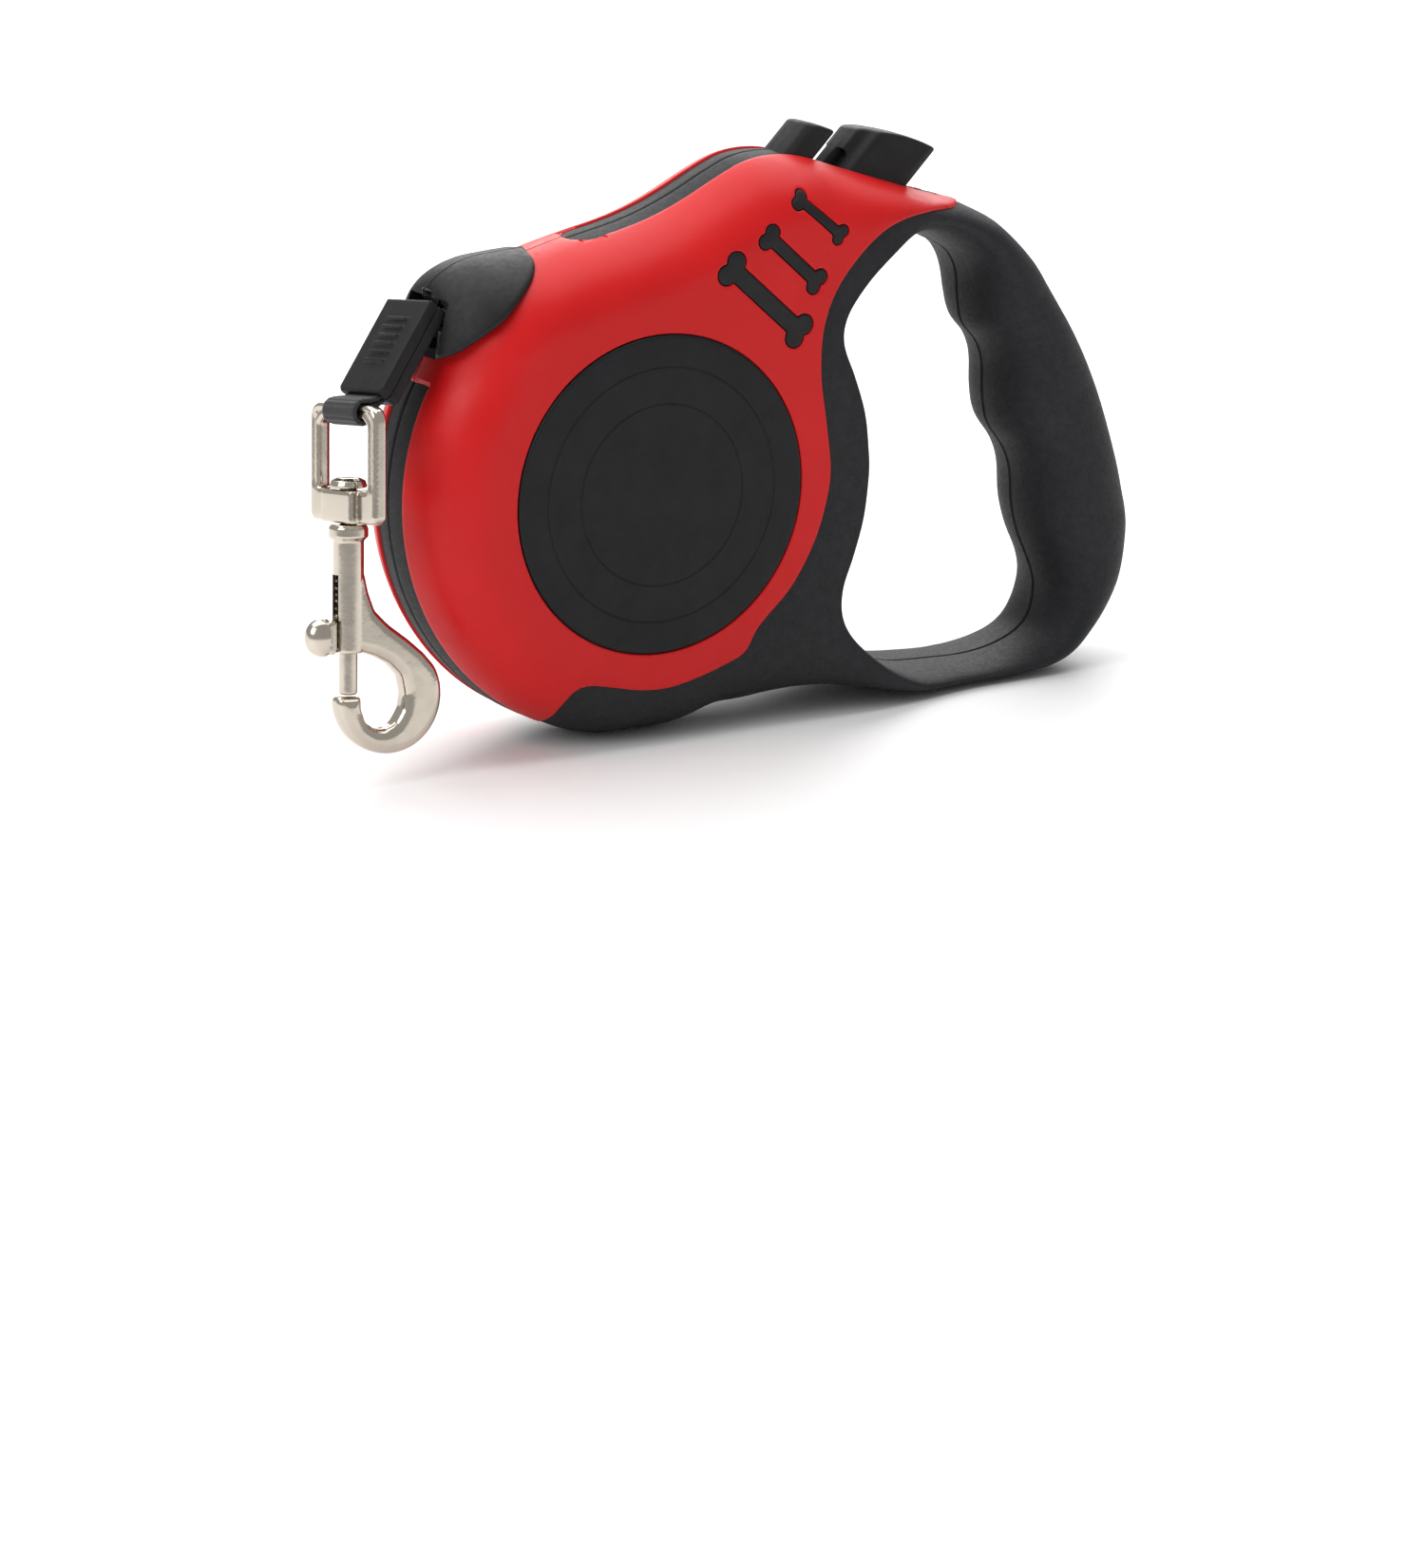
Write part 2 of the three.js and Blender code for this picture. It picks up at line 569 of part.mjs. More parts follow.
// ---------- clip and hook, hanging from the mouth ----------
const CLIP_TOP = new THREE.Vector3(-42, -1, 37.1); // middle of the outer face's upper edge
const CLIP_WIDE = new THREE.Vector3(0.177, -0.977, 0.116).normalize();
const CLIP_DOWN = new THREE.Vector3(-0.625, -0.202, -0.754).normalize();
const CLIP_SIZE = { wide: 12.6, thick: 4.6, long: 19.4 };
const LOOP = { y: -0.2, past: 4 }; // middle of the tape loop, in the clip's own axes
const FOLD_AT = [-40.3, 0, 34.4]; // where the tape bends at the mouth
const CLIP_GAP = 0.4;
const CLIP_FOLDS = [12.5, 25, 37.5, 50]; // degrees
const HANG_LEAN = 8 * Math.PI / 180; // the hook hangs a little towards the front
const HANG_SIDE = v2(0.54, 0.842);
const EYE_DIRECTION = new THREE.Vector3(0.198, -0.98, 0);
const HOOK_DIRECTION = new THREE.Vector3(1, 0, 0);

function clipFrame() {
  const x = CLIP_WIDE.clone();
  const z = CLIP_DOWN.clone().addScaledVector(x, -CLIP_DOWN.dot(x)).normalize();
  const y = new THREE.Vector3().crossVectors(z, x);
  return new THREE.Matrix4().makeBasis(x, y, z).setPosition(CLIP_TOP);
}

// Middle of the eye's top bar, just past the clip's lower end.
function eyeBar() {
  return new THREE.Vector3(0, LOOP.y, CLIP_SIZE.long + LOOP.past).applyMatrix4(clipFrame());
}

function hangFrame(direction) {
  const lean = Math.sin(HANG_LEAN);
  const up = new THREE.Vector3(HANG_SIDE.x * lean, HANG_SIDE.y * lean, Math.cos(HANG_LEAN));
  const x = direction.clone().addScaledVector(up, -direction.dot(up)).normalize();
  const y = new THREE.Vector3().crossVectors(up, x);
  return new THREE.Matrix4().makeBasis(x, y, up).setPosition(eyeBar());
}

// Space that the hanging clip needs at the mouth, at rest and as it folds upwards.
function clipRoom() {
  const { wide, thick, long } = CLIP_SIZE;
  const half = wide / 2 + CLIP_GAP;
  const atRest = placed(box(-half, half, -thick - CLIP_GAP, 2, -0.6, long), clipFrame());
  return CLIP_FOLDS.reduce((room, angle) => room.add(folded(atRest, angle)), atRest);
}

// The body turned about the fold line, by an angle in degrees.
function folded(body, angle) {
  const [x, y, z] = FOLD_AT;
  return body.translate([-x, -y, -z]).rotate([0, angle, 0]).translate([x, y, z]);
}

// Local clip axes: x across the tape, y out of the ridged face, z down the tape.
function clipShell(front) {
  const { wide, thick, long } = CLIP_SIZE;
  const split = -thick / 2;
  const y0 = front ? split + 0.05 : -thick;
  const y1 = front ? 0 : split - 0.05;
  const shape = new THREE.Shape();
  const chamfer = 0.8;
  const half = wide / 2;
  shape.moveTo(-half, 0);
  shape.lineTo(half, 0);
  shape.lineTo(half, long - chamfer);
  shape.lineTo(half - chamfer, long);
  shape.lineTo(-half + chamfer, long);
  shape.lineTo(-half, long - chamfer);
  const options = { depth: y1 - y0, bevelEnabled: false };
  const plate = new THREE.ExtrudeGeometry(shape, options);
  plate.rotateX(-Math.PI / 2);
  plate.scale(1, 1, -1);
  const body = solidFlipped(plate).translate([0, y0, 0]);
  const channel = box(-5.2, 5.2, split - 0.85, split + 0.85, -1, long + 1);
  const parts = cut(body, channel);
  if (!front) return parts;
  const ridges = Array.from({ length: 6 }, (_, i) => box(-2.6, 2.6, -0.2, 0.35, 4 + i * 1.75, 4.7 + i * 1.75));
  return join(parts, ...ridges);
}

// Scaling by a negative number turns the faces inside out, so the winding is reversed.
function solidFlipped(geometry) {
  const plain = geometry.index ? geometry.toNonIndexed() : geometry;
  const position = plain.getAttribute('position');
  for (let i = 0; i < position.count; i += 3) {
    const b = new THREE.Vector3().fromBufferAttribute(position, i + 1);
    const c = new THREE.Vector3().fromBufferAttribute(position, i + 2);
    position.setXYZ(i + 1, c.x, c.y, c.z);
    position.setXYZ(i + 2, b.x, b.y, b.z);
  }
  return solid(plain);
}

// Straight stub of tape in the mouth, which leads the clip out of the casing.
function tapeEnd() {
  return ribbon([[-25.4, TAPE_Z + 0.4], [-36.6, TAPE_Z + 0.4]]);
}

// Loop of tape in the clip and round the eye's top bar.
function tapeLoop() {
  const { thick, long } = CLIP_SIZE;
  const middle = -thick / 2;
  const centre = v2(LOOP.y, long + LOOP.past);
  const half = TAPE_WIDTH / 2;
  const path = new THREE.Path();
  const r = 1.95;
  path.moveTo(middle + 0.4, 3);
  path.lineTo(middle + 0.4, long + 0.2);
  path.absarc(centre.x, centre.y, r, -0.3 * Math.PI, 1.15 * Math.PI, false);
  path.lineTo(middle - 0.4, long + 0.2);
  path.lineTo(middle - 0.4, 3);
  const inner = path.getPoints(8);
  const count = inner.length;
  const thickness = TAPE_THICK * 0.45;
  const pushed = inner.map((p, i) => {
    const before = inner[Math.max(0, i - 1)];
    const after = inner[Math.min(count - 1, i + 1)];
    const along = after.clone().sub(before).normalize();
    return v2(p.x + along.y * thickness, p.y - along.x * thickness);
  });
  const closed = [...inner, ...pushed.reverse()];
  const geometry = new THREE.ExtrudeGeometry(new THREE.Shape(closed), { depth: 2 * half, bevelEnabled: false });
  const matrix = new THREE.Matrix4().makeBasis(
    new THREE.Vector3(0, 1, 0), new THREE.Vector3(0, 0, 1), new THREE.Vector3(1, 0, 0),
  );
  geometry.applyMatrix4(matrix);
  geometry.translate(-half, 0, 0);
  return solid(geometry);
}

// Local hook axes: z up the shank from the eye's top bar, x across, y through the plane.
const EYE = { wide: 18.4, bar: 2.6, thick: 3, top: 1.3, baseTop: -13.6, baseLow: -19.4 };
const SHANK = { r: 2.75, bore: 1.95, top: -20.2, low: -42.3 };
const BOW = { x: 7.4, z: -50.2, outer: 10.2 };

function swivelEye() {
  const { wide, bar, thick, top, baseTop, baseLow } = EYE;
  const half = wide / 2;
  const shape = new THREE.Shape();
  shape.moveTo(-half + 0.6, baseLow);
  shape.lineTo(half - 0.6, baseLow);
  shape.lineTo(half, baseLow + 0.8);
  shape.lineTo(half, top - 2.6);
  shape.absarc(half - 2.6, top - 2.6, 2.6, 0, Math.PI / 2, false);
  shape.absarc(-half + 2.6, top - 2.6, 2.6, Math.PI / 2, Math.PI, false);
  shape.lineTo(-half, baseLow + 0.8);
  const hole = new THREE.Path();
  const inner = half - bar;
  hole.moveTo(-inner, baseTop);
  hole.lineTo(-inner, top - bar - 0.8);
  hole.lineTo(-inner + 0.8, top - bar);
  hole.lineTo(inner - 0.8, top - bar);
  hole.lineTo(inner, top - bar - 0.8);
  hole.lineTo(inner, baseTop);
  shape.holes.push(hole);
  const bevel = 0.5;
  const options = {
    depth: thick - 2 * bevel, bevelEnabled: true, bevelThickness: bevel, bevelSize: bevel,
    bevelOffset: -bevel, bevelSegments: 1, curveSegments: 4,
  };
  const geometry = new THREE.ExtrudeGeometry(shape, options);
  geometry.rotateX(Math.PI / 2);
  geometry.translate(0, thick / 2 - bevel, 0);
  const pad = box(-4.2, 4.2, -2.9, 2.9, baseLow + 0.02, baseTop - 0.02);
  return cut(join(solid(geometry), pad), rodZ(1.7, baseLow - 1, baseTop + 1));
}

function hookBody() {
  const head = rodZ(3.3, EYE.baseTop + GAP, EYE.baseTop + 2.2);
  const neck = rodZ(1.4, EYE.baseLow - 1, EYE.baseTop + 1);
  const collar = rodZ(3.5, SHANK.top - 1.4, EYE.baseLow - GAP);
  const shank = rodZ(SHANK.r, SHANK.low, SHANK.top - 1);
  const shape = new THREE.Shape();
  const meet = 0.5;
  const meetX = BOW.x + BOW.outer * Math.cos(meet);
  const meetZ = BOW.z + BOW.outer * Math.sin(meet);
  shape.moveTo(-1.5, -27);
  shape.lineTo(2.3, -27.2);
  shape.quadraticCurveTo(3.2, -34.3, 7.3, -37.2);
  shape.quadraticCurveTo(14.2, -41.4, meetX, meetZ);
  shape.absarc(BOW.x, BOW.z, BOW.outer, meet, -Math.PI * 0.97, true);
  shape.lineTo(-2.5, -49.9);
  shape.lineTo(1.9, -49.9);
  shape.quadraticCurveTo(1.9, -55.8, 6, -55.9);
  shape.quadraticCurveTo(10.2, -55, 10.3, -49.6);
  shape.quadraticCurveTo(9.6, -43.4, 2.4, SHANK.low);
  shape.lineTo(-1.5, SHANK.low + 0.1);
  const bevel = 1;
  const options = {
    depth: 4.8 - 2 * bevel, bevelEnabled: true, bevelThickness: bevel, bevelSize: bevel,
    bevelOffset: -bevel, bevelSegments: 1, curveSegments: 7,
  };
  const geometry = new THREE.ExtrudeGeometry(shape, options);
  geometry.rotateX(Math.PI / 2);
  geometry.translate(0, 2.4 - bevel, 0);
  const whole = join(head, neck, collar, shank, solid(geometry));
  const bore = rodZ(SHANK.bore, -49.2, -26.5);
  const slot = box(-4, 0, -1.15, 1.15, -44, -28.5);
  return cut(whole, bore, slot);
}

const GATE_TRAVEL = 7.6;

function gateBolt() {
  const rod = rodZ(1.65, -49.6, -35.6, 0, 0, 12);
  const stem = box(-3.4, 0, -0.85, 0.85, -41.5, -37.4);
  const collar = box(-4.6, -3.1, -2, 2, -42.3, -36.4);
  const dome = new THREE.SphereGeometry(1, 12, 8);
  dome.scale(3.6, 2.6, 3.6);
  dome.translate(-4.7, 0, -39.35);
  const knob = cut(solid(dome), box(-4.62, 4, -9, 9, -60, 0));
  return join(rod, stem, collar, knob.translate([0.1, 0, 0]));
}

// ---------- assembly ----------
const BLACK = { color: 0x1b1c1e, roughness: 0.62, metalness: 0 };
const RED = { color: 0xc81e20, roughness: 0.36, metalness: 0 };
const NICKEL = { color: 0xc9c2b4, roughness: 0.25, metalness: 1 };
const STEEL = { color: 0x8f9296, roughness: 0.35, metalness: 1 };
const NYLON = { color: 0x17181a, roughness: 0.85, metalness: 0 };
const PALE = { color: 0xd8d5cc, roughness: 0.5, metalness: 0 };

const leash = new THREE.Group();
const aboutSpool = new THREE.Group();
aboutSpool.position.copy(SPOOL_AT);
leash.add(aboutSpool);

function addMesh(name, geometry, finish, parent = aboutSpool) {
  const mesh = new THREE.Mesh(geometry, new THREE.MeshStandardMaterial(finish));
  mesh.name = name;
  parent.add(mesh);
  return mesh;
}

function add(name, body, finish, parent = aboutSpool) {
  return addMesh(name, geometryOf(body), finish, parent);
}

function framed(matrix) {
  const group = new THREE.Group();
  group.applyMatrix4(matrix);
  aboutSpool.add(group);
  return group;
}

const housing = housingHalf();
const cover = coverHalf();
const nozzle = nozzleHalf();
add('housing_front_half', cut(housing, ...screwHoles(true)), BLACK);
add('housing_back_half', cut(mirrored(housing), ...screwHoles(false)), BLACK);
add('cover_panel_front', cover, RED);
add('cover_panel_back', mirrored(cover), RED);
add('nozzle_front_half', nozzle, BLACK);
add('nozzle_back_half', mirrored(nozzle), BLACK);
add('dial_cover_front', dialCover(), BLACK);
add('dial_cover_back', mirrored(dialCover()), BLACK);
['large', 'medium', 'small'].forEach((size, i) => {
  add(`bone_inlay_${size}_front`, boneInlay(BONES[i]), BLACK);
  add(`bone_inlay_${size}_back`, mirrored(boneInlay(BONES[i])), BLACK);
});
['top', 'grip_upper', 'grip_lower', 'base'].forEach((place, i) => {
  add(`housing_screw_${place}`, screw(SCREW_SPOTS[i]), STEEL);
});
['upper', 'lower'].forEach((place, i) => {
  const [x, z] = PIN_SPOTS[i];
  add(`guide_pin_${place}`, rodY(PIN_R, -8, 8, x, z, 12), STEEL);
});

add('reel_axle', reelAxle(), STEEL);
add('spool_body', spoolBody(), PALE);
add('spool_flange', spoolFlange(), PALE);
add('spring_cover', springCover(), PALE);
add('mainspring', mainspring(), STEEL);
add('tape_pack', tapePack(), NYLON);
add('tape_run', tapeRun(), NYLON);
add('tape_end', tapeEnd(), NYLON);

add('brake_button', brakeButton(), BLACK);
add('brake_pawl', brakePawl(), STEEL);
add('lock_button', lockButton(), BLACK);
const brakeFrame = framed(buttonFrame(BRAKE));
const brakeSpring = addMesh('brake_spring', helix(2.2, 0.35, 5.4, 5), STEEL, brakeFrame);
brakeSpring.position.set(0, 0, -14.8);
const lockFrame = framed(buttonFrame(LOCK));
const lockSpring = addMesh('lock_spring', helix(1.5, 0.28, 4, 4), STEEL, lockFrame);
lockSpring.position.set(0, 0, -10.8);

const clip = framed(clipFrame());
add('clip_front_shell', clipShell(true), BLACK, clip);
add('clip_back_shell', clipShell(false), BLACK, clip);
add('tape_loop', tapeLoop(), NYLON, clip);
add('swivel_eye', swivelEye(), NICKEL, framed(hangFrame(EYE_DIRECTION)));
const hook = framed(hangFrame(HOOK_DIRECTION));
add('hook_body', hookBody(), NICKEL, hook);
add('gate_bolt', gateBolt(), NICKEL, hook);
const gateSpring = addMesh('gate_spring', helix(1.2, 0.25, 8.3, 7), STEEL, hook);
gateSpring.position.set(0, 0, -35.2);

export default leash;
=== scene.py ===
"""Looks of the retractable leash: smooth moulded casing, nickel hook, ribbed tape and studio scene.

Shapes are worked out in millimetres in the spool frame (origin on the spool axis, +X towards the hand
grip, the front face towards -Y, +Z up) and are moved into the CAD frame in metres at the end.
"""
import json
import math

import bpy
import bmesh
import numpy as np
from mathutils import Matrix, Vector
from mathutils.geometry import delaunay_2d_cdt


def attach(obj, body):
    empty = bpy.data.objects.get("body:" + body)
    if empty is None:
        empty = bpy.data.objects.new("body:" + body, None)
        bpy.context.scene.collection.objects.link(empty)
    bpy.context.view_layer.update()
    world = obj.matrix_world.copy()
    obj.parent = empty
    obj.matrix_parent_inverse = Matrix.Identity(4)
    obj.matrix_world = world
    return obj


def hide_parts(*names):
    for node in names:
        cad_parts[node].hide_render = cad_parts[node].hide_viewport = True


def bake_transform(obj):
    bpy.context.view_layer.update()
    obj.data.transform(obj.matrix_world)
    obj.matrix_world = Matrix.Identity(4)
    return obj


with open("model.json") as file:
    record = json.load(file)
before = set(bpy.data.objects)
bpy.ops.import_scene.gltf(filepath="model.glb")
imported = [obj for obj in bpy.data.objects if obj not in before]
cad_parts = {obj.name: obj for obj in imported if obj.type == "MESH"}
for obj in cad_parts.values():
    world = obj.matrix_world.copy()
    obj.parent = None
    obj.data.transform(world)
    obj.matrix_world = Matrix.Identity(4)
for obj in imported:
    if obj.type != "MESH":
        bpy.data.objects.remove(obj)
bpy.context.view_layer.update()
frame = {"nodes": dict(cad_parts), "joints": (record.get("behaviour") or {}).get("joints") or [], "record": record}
MM = 0.001
JOINTS = {joint["name"]: joint for joint in frame["joints"]}
SPOOL_AT = Vector(JOINTS["spool_spin"]["pos_m"])

# ---------- driving dimensions, mm ----------
BODY_R = 46.7
HALF = 17.0
GRIP_HALF = 12.2
SEAM = 0.15
RIM_ROUND = 12.0          # in-plane depth of the casing's rounded rim
HOLE_ROUND = 9.2          # the same at the grip opening
HOLE_EDGE = 1.2           # and where the opening runs beside the reel
SEAM_STEP = 0.28          # the black halves turn in this much at the seam
STRIP_HALF = 5.1          # half width of the grained strip between the red covers
STEP = 0.55               # the red covers stand this far proud of the black body
WALL = 1.9
DIAL_R = 29.0
DIAL_PROUD = 0.25
GROOVE = 0.16             # gap between a cover and its neighbour
NOZZLE_PROUD = 0.7
NOZZLE_ROUND = 16.0
FLOOR_Z = -46.3

CASING = [
    (22, -43.7), (28, -42.9), (34, -42.5), (40, -42.7), (47, -43.9), (54, -45.5), (61, -46.4), (70, -46.7),
    (80, -46.7), (88, -46.3), (94, -44.8), (99.1, -41.1), (103.8, -36.3), (107.6, -29.8), (109.5, -20),
    (108.5, -12.9), (106.5, -5.2), (101.7, 9), (97, 18.2), (92.4, 25.4), (87.9, 32.2), (83.1, 37.2),
    (78.5, 41.1), (74.1, 44), (69.8, 46.2), (65.6, 47.4), (61.6, 48.3), (53.8, 50.9), (44, 54.3),
    (36.6, 57), (30.4, 58), (24.1, 57.4), (18, 54.9), (11.1, 51.5), (5.5, 49.2), (-0.5, 47.4), (-10.2, 45.3),
    (-18, 43.3), (-26, 41.1), (-32, 37.8), (-36.4, 33),
]
CASING_ARC = (146.4, 290.0)
OPENING = [
    (47.5, -37.3), (52, -39.8), (58, -41.9), (66, -42.5), (76, -42.7), (83.9, -41.2), (89.3, -37.9),
    (91.2, -31.5), (89.7, -26), (87.3, -20.6), (85.8, -14.6), (85.4, -8), (83.6, -3.3), (80.1, 1.6),
    (79, 7.4), (78.9, 13.4), (77.4, 17.6), (74.3, 21.1), (73.3, 25.6), (72.8, 31.5), (70.6, 35.4),
    (66.4, 37.9), (61.6, 39.7), (57.1, 40.4), (52.7, 39.2), (46.9, 36.1), (42, 31.1), (39.6, 27.1),
    (39.3, 23.1), (41.3, 17.6), (43.6, 10.3), (44.4, 3.1), (44.5, -1.1), (43.4, -9.4), (41.1, -16.8),
    (39, -22.3), (39, -27.6), (41.9, -32.4),
]
COVER_EDGE = [
    (80, 72), (79, 60), (77, 50), (72.5, 46.5), (66.7, 45.6), (58.5, 45.9), (50.8, 44.9), (45.4, 42.6),
    (40.1, 37.9), (36.1, 32.5), (33.8, 25.8), (33.5, 17.7), (34.6, 9.4), (35.5, 0.3), (34.2, -6.7),
    (31.6, -13.4), (27, -20.5), (20.4, -26.8), (17.4, -31.2), (13.2, -33.1), (7, -34.9), (1.1, -35.9),
    (-4.6, -35.5), (-10.8, -34.1), (-14.9, -33.4), (-17.6, -34.4), (-18.9, -37.4), (-19, -41), (-19, -54),
    (-19, -60),
]
NOZZLE_EDGE = [
    (-17.6, 62), (-17.6, 52), (-17.9, 46.5), (-19.2, 43.6), (-21.6, 41.2), (-25.8, 38.1), (-30.2, 34.8),
    (-34.4, 31.7), (-37.9, 28.9), (-40.4, 27.4), (-43.4, 26.4), (-50, 25), (-60, 24),
]
NOZZLE_LINE = [
    (30, 58), (10, 51.6), (-1.2, 48), (-10.6, 45.9), (-15, 44.8), (-19.5, 44), (-24.2, 43.7),
    (-29.7, 43.1), (-34.5, 41.3), (-38, 38.4), (-40.1, 34.6), (-41.6, 30), (-43, 24), (-45, 14), (-48, 0),
]
MOUTH = ((-41.6, 24.0), (-38.3, 38.8))
BONES = [
    {"from": (14.6, 39.6), "to": (28.6, 26.9), "bar": 1.6, "lobe": 1.85, "side": 1.5, "size": "large"},
    {"from": (22.4, 44.6), "to": (32.3, 35.6), "bar": 1.15, "lobe": 1.38, "side": 1.12, "size": "medium"},
    {"from": (29.4, 50.6), "to": (37.3, 43.7), "bar": 0.88, "lobe": 1.08, "side": 0.9, "size": "small"},
]
LOW_STRIP_TOP = 22.0      # height where the lower strip ends, below the nozzle
TOP_STRIP_END = -10.5     # where the upper strip ends, behind the nozzle
SCREWS = [(13, 44.3), (80.5, 34), (98.8, -18.5), (33.5, -35.3)]


# ---------- plane curves ----------
def smooth(low, high, x):
    t = np.clip((np.asarray(x, float) - low) / (high - low), 0, 1)
    return t * t * (3 - 2 * t)


def spline(points, closed, spacing, soften=0.0):
    """Evenly spaced points on a curve through the given points."""
    p = np.array(points, float)
    count = len(p)
    spans = count if closed else count - 1
    dense = []
    for i in range(spans):
        a = p[(i - 1) % count] if closed or i > 0 else 2 * p[0] - p[1]
        b, c = p[i], p[(i + 1) % count]
        d = p[(i + 2) % count] if closed or i + 2 < count else 2 * p[-1] - p[-2]
        t = np.linspace(0, 1, 24, endpoint=False)[:, None]
        dense.append(0.5 * (2 * b + (c - a) * t + (2 * a - 5 * b + 4 * c - d) * t ** 2
                            + (3 * b - a - 3 * c + d) * t ** 3))
    line = np.vstack(dense + ([] if closed else [p[-1:]]))
    return even(line, closed, spacing, soften)


def even(line, closed, spacing, soften=0.0):
    """The same line at even spacing, with its small wobbles softened over the given length."""
    loop = np.vstack([line, line[:1]]) if closed else line
    steps = np.hypot(*np.diff(loop, axis=0).T)
    at = np.concatenate([[0], np.cumsum(steps)])
    count = max(3, int(round(at[-1] / spacing)))
    wanted = np.linspace(0, at[-1], count + 1)[: count if closed else count + 1]
    out = np.stack([np.interp(wanted, at, loop[:, k]) for k in (0, 1)], axis=1)
    if soften:
        reach = int(round(3 * soften / spacing))
        kernel = np.exp(-0.5 * (np.arange(-reach, reach + 1) * spacing / soften) ** 2)
        kernel /= kernel.sum()
        wide = np.vstack([out[-reach:], out, out[:reach]])
        out = np.stack([np.convolve(wide[:, k], kernel, "valid") for k in (0, 1)], axis=1)
    return out


def tangents(line, closed=True):
    if closed:
        along = np.roll(line, -1, 0) - np.roll(line, 1, 0)
    else:
        along = np.gradient(line, axis=0)
    return along / np.maximum(np.hypot(*along.T)[:, None], 1e-9)


def inwards(line, closed=True):
    """Normals to the left of the way the line runs: inwards on a counter-clockwise loop."""
    along = tangents(line, closed)
    return np.stack([-along[:, 1], along[:, 0]], axis=1)


def inside(points, loop):
    """Which points lie inside a closed loop."""
    x, z = points[:, 0][:, None], points[:, 1][:, None]
    x0, z0 = loop[:, 0], loop[:, 1]
    x1, z1 = np.roll(x0, -1), np.roll(z0, -1)
    out = np.zeros(len(points), bool)
    for part in range(0, len(points), 4000):
        rows = slice(part, part + 4000)
        crosses = (z0 > z[rows]) != (z1 > z[rows])
        rise = np.where(z1 == z0, 1e-12, z1 - z0)
        at = x0 + (z[rows] - z0) * (x1 - x0) / rise
        out[rows] = (crosses & (x[rows] < at)).sum(1) % 2 == 1
    return out


def distance(points, line, closed=True):
    """Distance from each point to a line made of straight pieces."""
    a = line if closed else line[:-1]
    b = np.roll(line, -1, 0) if closed else line[1:]
    d = b - a
    size = np.maximum((d ** 2).sum(1), 1e-12)
    best = np.empty(len(points))
    for part in range(0, len(points), 2000):
        q = points[part:part + 2000]
        t = np.clip(((q[:, None, 0] - a[:, 0]) * d[:, 0] + (q[:, None, 1] - a[:, 1]) * d[:, 1]) / size, 0, 1)
        gap_x = a[:, 0] + t * d[:, 0] - q[:, None, 0]
        gap_z = a[:, 1] + t * d[:, 1] - q[:, None, 1]
        best[part:part + 2000] = np.sqrt((gap_x ** 2 + gap_z ** 2).min(1))
    return best


def circle(radius, spacing, centre=(0, 0)):
    count = int(round(2 * math.pi * radius / spacing))
    turn = np.linspace(0, 2 * math.pi, count, endpoint=False)
    return np.stack([centre[0] + radius * np.cos(turn), centre[1] + radius * np.sin(turn)], axis=1)


def casing_line():
    turn = np.radians(np.linspace(CASING_ARC[0], CASING_ARC[1], 18))
    arc = [(BODY_R * math.cos(t), BODY_R * math.sin(t)) for t in turn]
    line = spline(arc + CASING, True, 0.7, soften=1.2)
    line[:, 1] = np.maximum(line[:, 1], FLOOR_Z)
    return line


CASING_LINE = casing_line()
OPENING_LINE = spline(OPENING, True, 0.7, soften=1.1)
NOZZLE_CURVE = spline(NOZZLE_LINE, False, 0.7)


# ---------- the casing's side surface as a height over the plan ----------
def half_thickness(x):
    return HALF + (GRIP_HALF - HALF) * smooth(44, 74, x)


def rounded(depth, reach, power=0.5):
    """Height share of a rounded edge of the given reach, 0 at the edge and 1 at full reach."""
    left = 1 - np.clip(depth / np.maximum(reach, 1e-6), 0, 1)
    return np.power(np.maximum(1 - left ** 2, 0), power)


def rim_reach(width):
    return RIM_ROUND * np.minimum(1, 0.043 * width)


def hole_reach(width, x):
    """In-plane depth of the rounding at the grip opening: small by the reel, full round the grip."""
    return HOLE_EDGE + (HOLE_ROUND * np.minimum(1, 0.056 * width) - HOLE_EDGE) * grip_share(x)


def grip_share(x):
    return smooth(46, 66, x)


def casing_height(points):
    """Half thickness of the casing at each plan point."""
    edge = distance(points, CASING_LINE)
    edge = np.where(inside(points, CASING_LINE), edge, 0)
    hole = distance(points, OPENING_LINE)
    hole = np.where(inside(points, OPENING_LINE), 0, hole)
    width = edge + hole
    outer = rounded(edge, rim_reach(width))
    inner = rounded(hole, hole_reach(width, points[:, 0]), 0.12 + 0.38 * grip_share(points[:, 0]))
    return half_thickness(points[:, 0]) * outer * inner


def nozzle_height(points):
    depth = distance(points, NOZZLE_CURVE, closed=False)
    return (HALF + NOZZLE_PROUD) * rounded(depth, NOZZLE_ROUND)


def surface(points, height):
    """Points on the front surface and their outward normals."""
    step = 0.02
    here = height(points)
    slope_x = (height(points + [step, 0]) - height(points - [step, 0])) / (2 * step)
    slope_z = (height(points + [0, step]) - height(points - [0, step])) / (2 * step)
    steep = 14.0
    normal = np.stack([-np.clip(slope_x, -steep, steep), -np.ones(len(points)),
                       -np.clip(slope_z, -steep, steep)], axis=1)
    normal /= np.linalg.norm(normal, axis=1)[:, None]
    place = np.stack([points[:, 0], -here, points[:, 1]], axis=1)
    return place, normal


def fillet(depth, radius):
    """How far a rounded edge drops below the surface at this distance from the edge."""
    left = 1 - np.clip(depth / radius, 0, 1)
    return radius * (1 - np.sqrt(np.maximum(1 - left ** 2, 0)))


